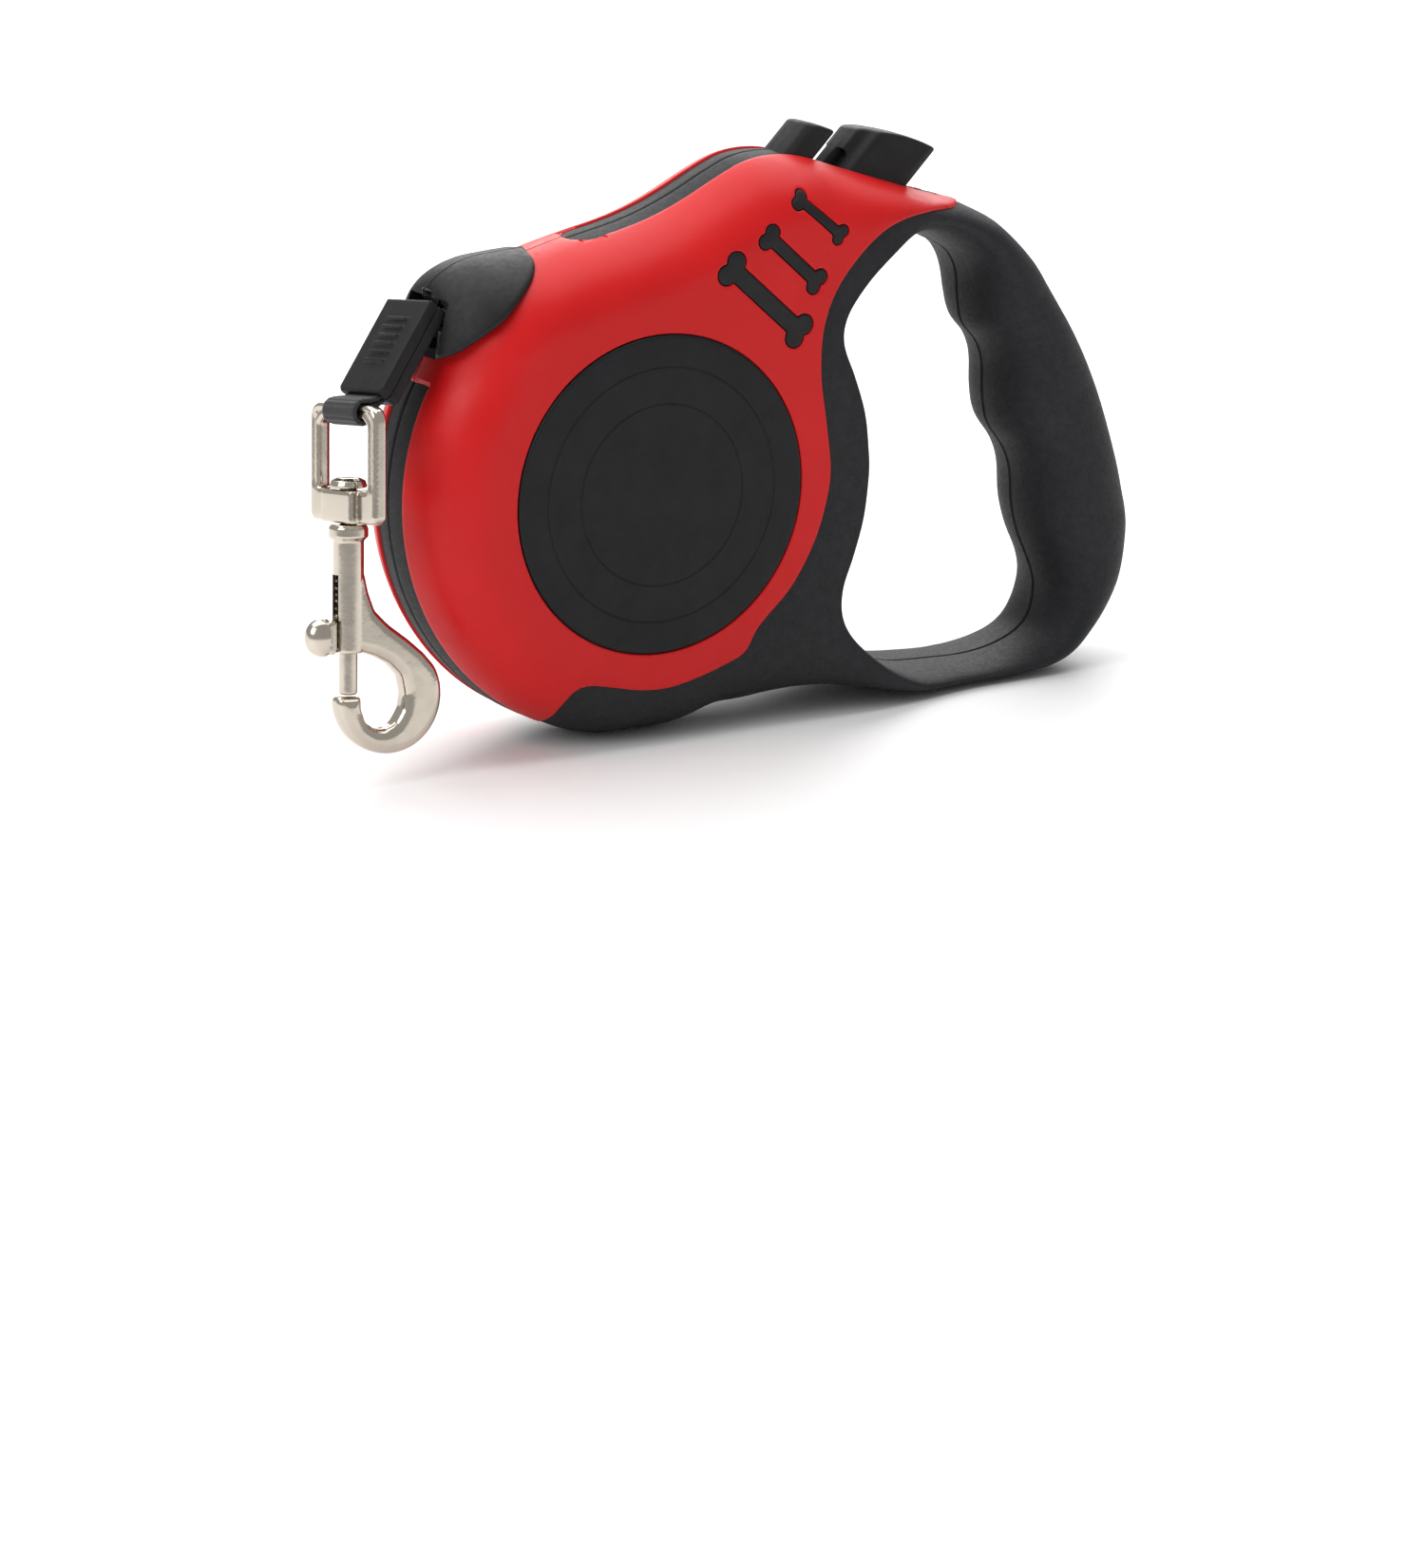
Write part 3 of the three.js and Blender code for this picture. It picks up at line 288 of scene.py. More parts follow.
# ---------- meshes from plan regions ----------
def plan_mesh(curves, loose, keep):
    """Triangles over the plan that follow every curve, where keep(centroids) is true.

    curves: list of (points, closed). Returns plan points, triangles and open edges in face order."""
    points, edges = [], []
    for line, closed in curves:
        first = len(points)
        points += [tuple(p) for p in line]
        ids = list(range(first, len(points)))
        edges += list(zip(ids, ids[1:] + ids[:1])) if closed else list(zip(ids, ids[1:]))
    points += [tuple(p) for p in loose]
    made = delaunay_2d_cdt([Vector(p) for p in points], edges, [], 0, 1e-5)
    plan = np.array([tuple(v) for v in made[0]], float)
    faces = np.array(made[2], int)
    faces = faces[keep(plan[faces].mean(1))]
    used, packed = np.unique(faces, return_inverse=True)
    faces = packed.reshape(-1, 3)
    plan = plan[used]
    a, b, c = plan[faces[:, 0]], plan[faces[:, 1]], plan[faces[:, 2]]
    turned = (b[:, 0] - a[:, 0]) * (c[:, 1] - a[:, 1]) - (b[:, 1] - a[:, 1]) * (c[:, 0] - a[:, 0])
    faces[turned < 0] = faces[turned < 0][:, ::-1]
    sides = {}
    for face in faces.tolist():
        for k in range(3):
            sides[(face[k], face[(k + 1) % 3])] = True
    rim = [pair for pair in sides if (pair[1], pair[0]) not in sides]
    return plan, faces, rim


def rim_inwards(plan, rim):
    """For each vertex on an open edge, the plan direction into the region."""
    into = {}
    for a, b in rim:
        along = plan[b] - plan[a]
        along = along / max(np.hypot(*along), 1e-9)
        left = np.array([-along[1], along[0]])
        for v in (a, b):
            into[v] = into.get(v, 0) + left
    return {v: d / max(np.hypot(*d), 1e-9) for v, d in into.items()}


def closed_shell(outer, inner, faces, rim, rows):
    """Vertices and faces of a closed shell. rows: dicts of vertex to place, from the outer rim inwards."""
    count = len(outer)
    vertices = [tuple(p) for p in outer] + [tuple(p) for p in inner]
    polygons = [tuple(f) for f in faces.tolist()]
    polygons += [tuple(v + count for v in f[::-1]) for f in faces.tolist()]
    levels = [{v: v for pair in rim for v in pair}]
    for row in rows:
        level = {}
        for v, place in row.items():
            level[v] = len(vertices)
            vertices.append(tuple(place))
        levels.append(level)
    levels.append({v: v + count for v in levels[0]})
    for upper, lower in zip(levels, levels[1:]):
        for a, b in rim:
            polygons.append((upper[b], upper[a], lower[a], lower[b]))
    return vertices, polygons


def build(name, vertices, polygons, sharp=32):
    """A mesh object in the CAD frame, from millimetres in the spool frame."""
    mesh = bpy.data.meshes.new(name)
    places = [tuple(SPOOL_AT + Vector(v) * MM) for v in vertices]
    mesh.from_pydata(places, [], polygons)
    mesh.validate()
    piece = bpy.data.objects.new(name, mesh)
    bpy.context.scene.collection.objects.link(piece)
    shade(piece, sharp)
    return piece


def shade(piece, sharp=32):
    mesh = piece.data
    mesh.polygons.foreach_set("use_smooth", [True] * len(mesh.polygons))
    mesh.set_sharp_from_angle(angle=math.radians(sharp))
    mesh.update()


def mirrored(piece, name):
    """The same piece on the other side of the seam plane."""
    twin = bpy.data.objects.new(name, piece.data.copy())
    twin.data.name = name
    bpy.context.scene.collection.objects.link(twin)
    twin.data.transform(Matrix.Scale(-1, 4, (0, 1, 0)))
    twin.data.flip_normals()
    shade(twin)
    return twin


def cut(piece, *tools):
    """Takes the tools away from the piece and removes them."""
    for tool in tools:
        step = piece.modifiers.new("cut", "BOOLEAN")
        step.operation = "DIFFERENCE"
        step.solver = "MANIFOLD"
        step.object = tool
        apply_modifiers(piece)
        bpy.data.objects.remove(tool)
    shade(piece)
    return piece


def apply_modifiers(piece):
    graph = bpy.context.evaluated_depsgraph_get()
    fresh = bpy.data.meshes.new_from_object(piece.evaluated_get(graph))
    old = piece.data
    piece.modifiers.clear()
    piece.data = fresh
    fresh.name = piece.name
    bpy.data.meshes.remove(old)


def prism(line, y0, y1, matrix=Matrix()):
    """A straight-sided block over a plan outline, used to cut other pieces."""
    count = len(line)
    vertices = [matrix @ Vector((x, y, z)) for y in (y0, y1) for x, z in line]
    polygons = [tuple(range(count)), tuple(range(2 * count - 1, count - 1, -1))]
    polygons += [(i, i + count, (i + 1) % count + count, (i + 1) % count) for i in range(count)]
    tool = build("tool", vertices, polygons)
    outward(tool)
    return tool


def outward(piece):
    mesh = bmesh.new()
    mesh.from_mesh(piece.data)
    bmesh.ops.recalc_face_normals(mesh, faces=mesh.faces)
    mesh.to_mesh(piece.data)
    mesh.free()


def hex_grid(low, high, spacing):
    rows = []
    for k, z in enumerate(np.arange(low[1], high[1], spacing * 0.866)):
        xs = np.arange(low[0] + (k % 2) * spacing / 2, high[0], spacing)
        rows.append(np.stack([xs, np.full(len(xs), z)], axis=1))
    return np.vstack(rows)


def rings(line, depths, closed=True):
    """Copies of a line moved to its left by each depth, without the points that fold over."""
    left = inwards(line, closed)
    out = []
    for depth in depths:
        moved = line + left * depth
        if depth > 0:
            moved = moved[distance(moved, line, closed) > 0.985 * depth - 1e-6]
        out.append(moved)
    return np.vstack(out)


def thin_out(points, gap):
    """Leaves out points nearer than gap to an earlier one, on a coarse grid."""
    seen, out = set(), []
    for p in points:
        key = (round(p[0] / gap), round(p[1] / gap))
        if key not in seen:
            seen.add(key)
            out.append(p)
    return np.array(out)


# ---------- casing pieces ----------
RIM_SHARES = (0, 0.04, 0.09, 0.15, 0.22, 0.3, 0.38, 0.46, 0.54, 0.62, 0.7, 0.77, 0.83, 0.88, 0.92, 0.955,
              0.98, 0.995, 1.0)
COVER_CURVE = spline(COVER_EDGE, False, 0.6)[::-1]
NOZZLE_SPLIT = spline(NOZZLE_EDGE, False, 0.6)
COVER_AREA = np.vstack([COVER_CURVE, [(80, 80), (-80, 80), (-80, -60)]])
NOZZLE_AREA = np.vstack([NOZZLE_SPLIT, [(-60, 80), (-17, 80)]])


def share_depth(share):
    return 1 - math.sqrt(max(0.0, 1 - share * share))


def rim_rings(line, reach, shares):
    left = inwards(line)
    out = []
    for share in shares:
        depth = reach * share_depth(share)
        moved = line + left * depth[:, None]
        if share > 0:
            moved = moved[distance(moved, line) > 0.97 * depth]
        out.append(moved)
    return out


def casing_reach():
    width = distance(CASING_LINE, OPENING_LINE)
    return rim_reach(width)


def rim_curve(height):
    """The line on the casing where its half thickness reaches the given height."""
    share = height / half_thickness(CASING_LINE[:, 0])
    depth = casing_reach() * (1 - np.sqrt(1 - share ** 2))
    return CASING_LINE + inwards(CASING_LINE) * depth[:, None]


def cover_drop(points):
    """How far the black body lies below the casing surface: a step under and beside the covers."""
    away = distance(points, COVER_CURVE, closed=False)
    away = np.where(inside(points, COVER_AREA), 0, away)
    return STEP * (1 - smooth(0.6, 8, away))


def body_half():
    """Black front half of the casing: the grip, the strips and the wall under the covers."""
    outer_reach = casing_reach()
    hole = OPENING_LINE[::-1]
    inner_reach = hole_reach(distance(hole, CASING_LINE), hole[:, 0])
    loose = rim_rings(CASING_LINE, outer_reach, RIM_SHARES[1:]) + rim_rings(hole, inner_reach, RIM_SHARES[1:])
    loose = np.vstack(loose)
    grid = hex_grid((-50, -50), (112, 60), 1.7)
    grid = grid[inside(grid, CASING_LINE) & ~inside(grid, OPENING_LINE)]
    edge, gap = distance(grid, CASING_LINE), distance(grid, OPENING_LINE)
    roomy = (edge > rim_reach(edge + gap) + 0.7) & (gap > np.minimum(HOLE_ROUND, 0.45 * (edge + gap)) + 0.7)
    loose = np.vstack([loose, grid[roomy]])
    loose = thin_out(loose[inside(loose, CASING_LINE) & ~inside(loose, OPENING_LINE)], 0.03)
    plan, faces, rim = plan_mesh(
        [(CASING_LINE, True), (OPENING_LINE, True)], loose,
        lambda c: inside(c, CASING_LINE) & ~inside(c, OPENING_LINE))
    place, normal = surface(plan, casing_height)
    drop = cover_drop(plan)
    outer = place - normal * drop[:, None]
    outer[:, 1] = np.minimum(outer[:, 1], -SEAM - SEAM_STEP)
    room = distance(plan, CASING_LINE) + distance(plan, OPENING_LINE)
    wall = np.minimum(WALL, 0.36 * room)
    inner = outer - normal * wall[:, None]
    inner[:, 1] = np.minimum(inner[:, 1], -SEAM)
    into = rim_inwards(plan, rim)
    seam_row = {}
    for v, d in into.items():
        base = np.array([plan[v][0], 0, plan[v][1]])
        way = np.array([d[0], 0, d[1]])
        outer[v] = base + way * drop[v] + [0, -SEAM - SEAM_STEP, 0]
        seam_row[v] = base + way * (drop[v] + 0.24) + [0, -SEAM, 0]
        inner[v] = base + way * (drop[v] + wall[v]) + [0, -SEAM, 0]
    vertices, polygons = closed_shell(outer, inner, faces, rim, [seam_row])
    return build("casing_front", vertices, polygons, sharp=50)


def bone_line(bone, grow=0.0):
    """Outline of a dog bone: a straight bar with two round lobes at each end."""
    (x0, z0), (x1, z1) = bone["from"], bone["to"]
    length, turn = math.hypot(x1 - x0, z1 - z0), math.atan2(z1 - z0, x1 - x0)
    lobe, bar, side = bone["lobe"] + grow, bone["bar"] + grow, bone["side"]
    leaves_bar = math.pi - math.asin(max(-1.0, min(1.0, (side - bar) / lobe)))
    meets_twin = math.asin(side / lobe)
    lower = [(length + lobe * math.cos(t), -side + lobe * math.sin(t))
             for t in np.linspace(leaves_bar, 2 * math.pi + meets_twin, 40)]
    upper = [(x, -y) for x, y in reversed(lower)]
    right = lower + upper[1:]
    loop = np.array(right + [(length - x, -y) for x, y in right])
    turned_loop = np.stack([x0 + loop[:, 0] * math.cos(turn) - loop[:, 1] * math.sin(turn),
                            z0 + loop[:, 0] * math.sin(turn) + loop[:, 1] * math.cos(turn)], axis=1)
    return even(turned_loop, True, 0.22, soften=0.18)


def strip_end_curve():
    """Rounded end of the upper strip, from the seam up to the strip's edge."""
    top = CASING_LINE[(CASING_LINE[:, 1] > 30) & (CASING_LINE[:, 0] < 30) & (CASING_LINE[:, 0] > -30)]
    top = top[np.argsort(top[:, 0])]
    out = []
    for height in np.linspace(0, STRIP_HALF, 9):
        x = TOP_STRIP_END + STRIP_HALF - math.sqrt(max(0.0, STRIP_HALF ** 2 - height ** 2))
        z = np.interp(x, top[:, 0], top[:, 1])
        slope = (np.interp(x + 0.5, top[:, 0], top[:, 1]) - np.interp(x - 0.5, top[:, 0], top[:, 1]))
        down = np.array([slope, -1.0]) / math.hypot(slope, 1)
        out.append(np.array([x, z]) + down * RIM_ROUND * share_depth(height / HALF))
    return np.array(out)


def low_end_curve():
    """Squared end of the lower strip."""
    near = CASING_LINE[(CASING_LINE[:, 0] < -30)]
    start = near[np.argmin(np.abs(near[:, 1] - LOW_STRIP_TOP))]
    out = start / np.hypot(*start)
    return np.array([start - out * RIM_ROUND * share_depth(h / HALF) for h in np.linspace(0, STRIP_HALF, 7)])


def cover_half():
    """Red front cover: a skin over the reel, with holes for the dial, the bones and the nozzle."""
    rim = rim_curve(STRIP_HALF)
    dial = circle(DIAL_R + GROOVE, 0.7)[::-1]
    bones = [bone_line(bone, GROOVE) for bone in BONES]
    lip, dial_lip, bone_lip = 0.45, 0.28, 0.25
    strip_end, low_end = strip_end_curve(), low_end_curve()
    heights = [5.3, 5.6, 6.0, 6.6, 7.5, 8.6, 9.9, 11.2, 12.5, 13.6, 14.5, 15.3, 15.9, 16.4, 16.75, 16.95]
    loose = [rim_curve(h) for h in heights + [0.5, 1.2, 2.1, 3.1, 4.1]]
    steps = (0.03, 0.1, 0.2, 0.32, 0.5, 0.85, 1.4)
    loose += [rings(COVER_CURVE, steps, closed=False), rings(NOZZLE_SPLIT, steps, closed=False)]
    loose += [rings(dial, steps)] + [rings(line[::-1], (0.05, 0.14, 0.3, 0.6)) for line in bones]
    grid = hex_grid((-50, -50), (70, 60), 1.6)
    grid = grid[inside(grid, CASING_LINE)]
    loose.append(grid[distance(grid, CASING_LINE) > 9])
    loose = np.vstack(loose)

    def region(c):
        height = casing_height(c)
        cap = TOP_STRIP_END + STRIP_HALF - np.sqrt(np.maximum(0, STRIP_HALF ** 2 - height ** 2))
        window = (c[:, 1] > LOW_STRIP_TOP) & (c[:, 0] < cap)
        good = inside(c, CASING_LINE) & inside(c, COVER_AREA) & ~inside(c, NOZZLE_AREA)
        good &= (height > STRIP_HALF) | window
        good &= np.hypot(c[:, 0], c[:, 1]) > DIAL_R + GROOVE
        for line in bones:
            good &= ~inside(c, line)
        return good

    loose = thin_out(loose[inside(loose, CASING_LINE)], 0.02)
    curves = [(CASING_LINE, True), (rim, True), (COVER_CURVE, False), (NOZZLE_SPLIT, False), (dial, True),
              (strip_end, False), (low_end, False)] + [(line, True) for line in bones]
    plan, faces, open_edges = plan_mesh(curves, loose, region)
    place, normal = surface(plan, casing_height)
    drop = fillet(distance(plan, COVER_CURVE, False), lip) + fillet(distance(plan, NOZZLE_SPLIT, False), lip)
    drop += fillet(distance(plan, dial), dial_lip)
    for line in bones:
        drop += fillet(distance(plan, line), bone_lip)
    height = -place[:, 1]
    windowed = (plan[:, 1] > LOW_STRIP_TOP) & (plan[:, 0] < TOP_STRIP_END + 1)
    far = 9
    drop += fillet(np.where(windowed, far, np.abs(height - STRIP_HALF)), lip)
    low_gap = np.where(height < STRIP_HALF + 0.4, distance(plan, low_end, False), far)
    top_gap = np.where(height < STRIP_HALF + 0.4, distance(plan, strip_end, False), far)
    drop = np.minimum(drop + fillet(np.minimum(low_gap, top_gap), lip), lip)
    outer = place - normal * drop[:, None]
    inner = place - normal * (STEP - 0.01)
    flat = height < 0.5
    outer[flat, 1] = -SEAM
    inner[flat, 1] = -SEAM
    vertices, polygons = closed_shell(outer, inner, faces, open_edges, [])
    return build("cover_front", vertices, polygons, sharp=50)


def bone_piece(bone):
    line = bone_line(bone)
    loose = np.vstack([rings(line, (0.05, 0.14, 0.3, 0.6)), hex_grid((10, 20), (42, 56), 0.8)])
    loose = loose[inside(loose, line)]
    plan, faces, open_edges = plan_mesh([(line, True)], loose, lambda c: inside(c, line))
    place, normal = surface(plan, casing_height)
    drop = 0.06 + fillet(distance(plan, line), 0.25)
    outer = place - normal * drop[:, None]
    inner = place - normal * (STEP - 0.01)
    vertices, polygons = closed_shell(outer, inner, faces, open_edges, [])
    return build("bone_" + bone["size"] + "_front", vertices, polygons, sharp=50)


def nozzle_half():
    """Black front half of the nozzle: a dome that stands proud of the cover, open at the mouth."""
    area = np.vstack([NOZZLE_CURVE, [(-40, -30), (30, -31)]])
    mouth = np.array([np.array(MOUTH[0]) + t * (np.array(MOUTH[1]) - MOUTH[0]) for t in np.linspace(-1, 3, 60)])
    split = NOZZLE_SPLIT
    across = np.array(MOUTH[1]) - MOUTH[0]

    def region(c):
        ahead = (c[:, 0] - MOUTH[0][0]) * across[1] - (c[:, 1] - MOUTH[0][1]) * across[0]
        return inside(c, area) & inside(c, NOZZLE_AREA) & (ahead > 0)

    left = inwards(NOZZLE_CURVE, closed=False)
    loose = [NOZZLE_CURVE + left * NOZZLE_ROUND * share_depth(s) for s in RIM_SHARES[1:]]
    loose += [rings(split[::-1], (0.05, 0.14, 0.28, 0.45, 0.7, 1.0, 1.5), closed=False)]
    loose += [rings(mouth[::-1], (0.05, 0.14, 0.28, 0.45, 0.7), closed=False)]
    grid = hex_grid((-50, 20), (-10, 60), 1.3)
    loose.append(grid[distance(grid, NOZZLE_CURVE, False) > 7])
    loose = np.vstack(loose)
    loose = thin_out(loose[inside(loose, area)], 0.02)
    curves = [(NOZZLE_CURVE, False), (split, False), (mouth, False)]
    plan, faces, open_edges = plan_mesh(curves, loose, region)
    place, normal = surface(plan, nozzle_height)
    mouth_round = 1.1
    drop = fillet(distance(plan, split, False), 0.8) + fillet(distance(plan, mouth, False), mouth_round)
    outer = place - normal * np.minimum(drop, mouth_round)[:, None]
    outer[:, 1] = np.minimum(outer[:, 1], -SEAM - 0.2)
    below = casing_height(plan) - STEP
    inner = np.stack([plan[:, 0], -np.maximum(SEAM, below), plan[:, 1]], axis=1)
    outer[:, 1] = np.minimum(outer[:, 1], inner[:, 1] - 0.02)
    vertices, polygons = closed_shell(outer, inner, faces, open_edges, [])
    return build("nozzle_front", vertices, polygons, sharp=50)


def lathe(profile, sides):
    """Vertices and faces of a turned solid about +Z. profile: (radius, height) from the low end up."""
    vertices, polygons, last = [], [], None
    for radius, height in profile:
        if radius < 1e-6:
            ring = [len(vertices)] * sides
            vertices.append((0, 0, height))
        else:
            ring = list(range(len(vertices), len(vertices) + sides))
            turn = np.linspace(0, 2 * math.pi, sides, endpoint=False)
            vertices += [(radius * math.cos(t), radius * math.sin(t), height) for t in turn]
        if last:
            for i in range(sides):
                j = (i + 1) % sides
                corners = [last[i], last[j], ring[j], ring[i]]
                polygons.append(tuple(dict.fromkeys(corners)))
        last = ring
    return vertices, polygons


def turned(name, profile, frame_matrix, sides=96, sharp=32):
    vertices, polygons = lathe(profile, sides)
    return build(name, [frame_matrix @ Vector(v) for v in vertices], polygons, sharp)


def arc_profile(centre, radius, start, end, steps=8):
    return [(centre[0] + radius * math.cos(math.radians(a)), centre[1] + radius * math.sin(math.radians(a)))
            for a in np.linspace(start, end, steps)]


def dial_piece():
    """Round dial with a soft edge and two faint turned grooves."""
    face = HALF + DIAL_PROUD
    back = HALF - STEP + 0.01
    profile = [(0, back), (DIAL_R, back)] + arc_profile((DIAL_R - 0.6, face - 0.6), 0.6, 0, 90)
    for radius in (0.80 * DIAL_R, 0.57 * DIAL_R):
        profile += [(radius + 0.2, face), (radius + 0.06, face - 0.12), (radius - 0.06, face - 0.12),
                    (radius - 0.2, face)]
    profile.append((0, face))
    towards_front = Matrix(((1, 0, 0, 0), (0, 0, -1, 0), (0, 1, 0, 0), (0, 0, 0, 1)))
    return turned("dial_front", profile, towards_front, sides=192)


# ---------- pieces worked out as reliefs: a height over a plan ----------
def relief(name, loops, top, bottom, matrix, depths, grid, sharp=35, extra=None):
    """A closed piece between two height functions of (plan points, distance to the edge)."""
    outline, holes = loops[0], loops[1:]

    def within(c):
        good = inside(c, outline)
        for hole in holes:
            good &= ~inside(c, hole)
        return good

    loose = [rings(outline, depths)] + [rings(hole[::-1], depths) for hole in holes]
    low, high = outline.min(0), outline.max(0)
    if grid:
        loose.append(hex_grid(low, high, grid))
    if extra is not None:
        loose.append(extra)
    loose = np.vstack(loose)
    loose = thin_out(loose[within(loose)], 0.015)
    near = np.min([distance(loose, line) for line in loops], axis=0)
    loose = loose[near > 0.4 * min(depths)]
    plan, faces, rim = plan_mesh([(line, True) for line in loops], loose, within)
    depth = np.min([distance(plan, line) for line in loops], axis=0)
    outer = np.stack([plan[:, 0], plan[:, 1], top(plan, depth)], axis=1)
    inner = np.stack([plan[:, 0], plan[:, 1], bottom(plan, depth)], axis=1)
    vertices, polygons = closed_shell(outer, inner, faces, rim, [])
    return build(name, [matrix @ Vector(v) for v in vertices], polygons, sharp)


def frame_from(x, y, z, place):
    x, y, z = Vector(x), Vector(y), Vector(z)
    rows = [(x[k], y[k], z[k], place[k]) for k in range(3)]
    return Matrix(rows + [(0, 0, 0, 1)])


BUTTON_AXIS = Vector((1, 0, 1)).normalized()
BRAKE = {"base": (51.4, 51.8), "half": 7.7, "depth": 5.4, "top": 8.5, "slope": -0.3, "foot": -6, "arch": 1.1,
         "nose": 3.4}
LOCK = {"base": (36.8, 56.9), "half": 3.2, "depth": 4.6, "top": 6.2, "slope": -0.34, "foot": -4, "arch": 0.3,
        "nose": 0}


def button_frame(spec):
    z = BUTTON_AXIS
    x = Vector((z.z, 0, -z.x))
    return frame_from(x, z.cross(x), z, (spec["base"][0], 0, spec["base"][1]))


def button_line(spec, grow=0.0):
    """Plan of a button; a nose is a narrow rounded end before the wide body."""
    half, deep = spec["half"] + grow, spec["depth"] + grow
    upper = [(half, 0), (half, deep - 1.8), (half - 0.5, deep - 0.5), (half - 1.8, deep)]
    if spec["nose"]:
        shoulder = spec["nose"] - spec["half"]
        upper += [(shoulder + 0.9, deep), (shoulder, 0.96 * deep), (shoulder - 0.7, 0.78 * deep),
                  (shoulder - 1.3, 0.66 * deep), (shoulder - 2, 0.62 * deep), (0.5 - half, 0.55 * deep),
                  (-half, 0.25 * deep)]
    else:
        upper += [(1.9 - half, 0.97 * deep), (0.6 - half, 0.74 * deep), (-half, 0.34 * deep)]
    lower = [(x, -y) for x, y in reversed(upper)]
    return even(np.array(upper + lower[:-1]), True, 0.25, soften=0.3)


def button_piece(name, spec):
    """A sloping thumb button, a little arched, with rounded edges."""
    line = button_line(spec)
    lean = math.atan(spec["slope"]) + math.pi / 4

    def top(plan, depth):
        arch = spec["arch"] * (1 - (plan[:, 0] / spec["half"]) ** 2)
        crown = 0.25 * (plan[:, 1] / spec["depth"]) ** 2
        return spec["top"] + plan[:, 0] * math.tan(lean) + arch - crown - fillet(depth, 0.7)

    def bottom(plan, depth):
        return np.full(len(plan), float(spec["foot"]))

    piece = relief(name, [line], top, bottom, button_frame(spec), (0.03, 0.1, 0.2, 0.34, 0.52, 0.75, 1.0), 0.7)
    return cut(piece, *nose_pockets(spec)) if spec["nose"] else piece


def nose_pockets(spec):
    """Round-topped pockets low on both sides of the nose."""
    middle, deep, high, low, half = 0.8 - spec["half"], spec["depth"], -1.2, -4.5, 1.05
    arch = [(half * math.cos(t), high + half * math.sin(t)) for t in np.linspace(0, math.pi, 13)]
    outline = [(middle + x, z) for x, z in arch + [(-half, low), (half, low)]]
    return [prism(outline, side * 0.3 * deep, side * 1.1 * deep, button_frame(spec)) for side in (-1, 1)]


def button_well(spec):
    line = button_line(spec, 0.28)
    low = spec["foot"] - 5.2
    return relief("well", [line], lambda p, d: np.full(len(p), 30.0), lambda p, d: np.full(len(p), low),
                  button_frame(spec), (0.5,), 0)


# ---------- clip, tape, eye and hook ----------
CLIP_TOP = Vector((-42, -1, 37.1))
CLIP_WIDE = Vector((0.177, -0.977, 0.116)).normalized()
CLIP_DOWN = Vector((-0.625, -0.202, -0.754)).normalized()
CLIP = {"wide": 12.6, "thick": 4.6, "long": 19.4}
FOLD_AT = (-40.3, 34.4)   # where the tape bends at the mouth
CLIP_FOLDS = (0, 12.5, 25, 37.5, 50)
EYE_DIRECTION = Vector((0.198, -0.98, 0))
HOOK_DIRECTION = Vector((1, 0, 0))
HANG_LEAN = math.radians(8)
TAPE_WIDTH = 9.6
LOOP_R = 2.0
TAPE_THICK = 0.8
TAPE_Z = 33.2
TAPE_INSIDE_X = -25.4     # where the visible tape takes over from the run inside the casing
TAPE_END_X = -40.6
LOOP = {"y": -0.2, "past": 4.0}   # the loop round the eye: its middle in the clip's own axes
EYE = {"wide": 18.4, "bar": 2.6, "thick": 3, "top": 1.3, "base_top": -13.6, "base_low": -19.4}
SHANK = {"r": 2.75, "bore": 1.95, "top": -20.2, "low": -42.3}
BOW = {"x": 7.4, "z": -50.2, "outer": 10.2, "start": 0.5, "end": -math.pi * 0.97}


def clip_frame():
    x = CLIP_WIDE.copy()
    z = (CLIP_DOWN - x * CLIP_DOWN.dot(x)).normalized()
    return frame_from(x, z.cross(x), z, CLIP_TOP)


def eye_bar():
    return clip_frame() @ Vector((0, LOOP["y"], CLIP["long"] + LOOP["past"]))


def hang_frame(direction):
    up = Vector((0.54 * math.sin(HANG_LEAN), 0.842 * math.sin(HANG_LEAN), math.cos(HANG_LEAN)))
    x = (direction - up * direction.dot(up)).normalized()
    return frame_from(x, up.cross(x), up, eye_bar())


# Reliefs are worked out as (across, up, out); these turn them into each part's own axes.
CLIP_PLAN = Matrix(((1, 0, 0, 0), (0, 0, 1, 0), (0, -1, 0, 0), (0, 0, 0, 1)))
HANG_PLAN = Matrix(((1, 0, 0, 0), (0, 0, -1, 0), (0, 1, 0, 0), (0, 0, 0, 1)))


def clip_line():
    half, long, corner = CLIP["wide"] / 2, CLIP["long"], 0.8
    loop = [(half, 0), (half, -0.01), (half, -long + corner), (half - corner, -long), (-half + corner, -long),
            (-half, -long + corner), (-half, 0)]
    return even(np.array(loop[::-1]), True, 0.22, soften=0.12)


def ridge_height(plan):
    """Six raised grip ridges across the upper half of the clip."""
    out = np.zeros(len(plan))
    across = 1 - smooth(2.5, 3.0, np.abs(plan[:, 0]))
    for k in range(6):
        at = -(4.3 + 1.75 * k)
        out = np.maximum(out, 0.6 * np.exp(-((plan[:, 1] - at) / 0.38) ** 4) * across)
    return out


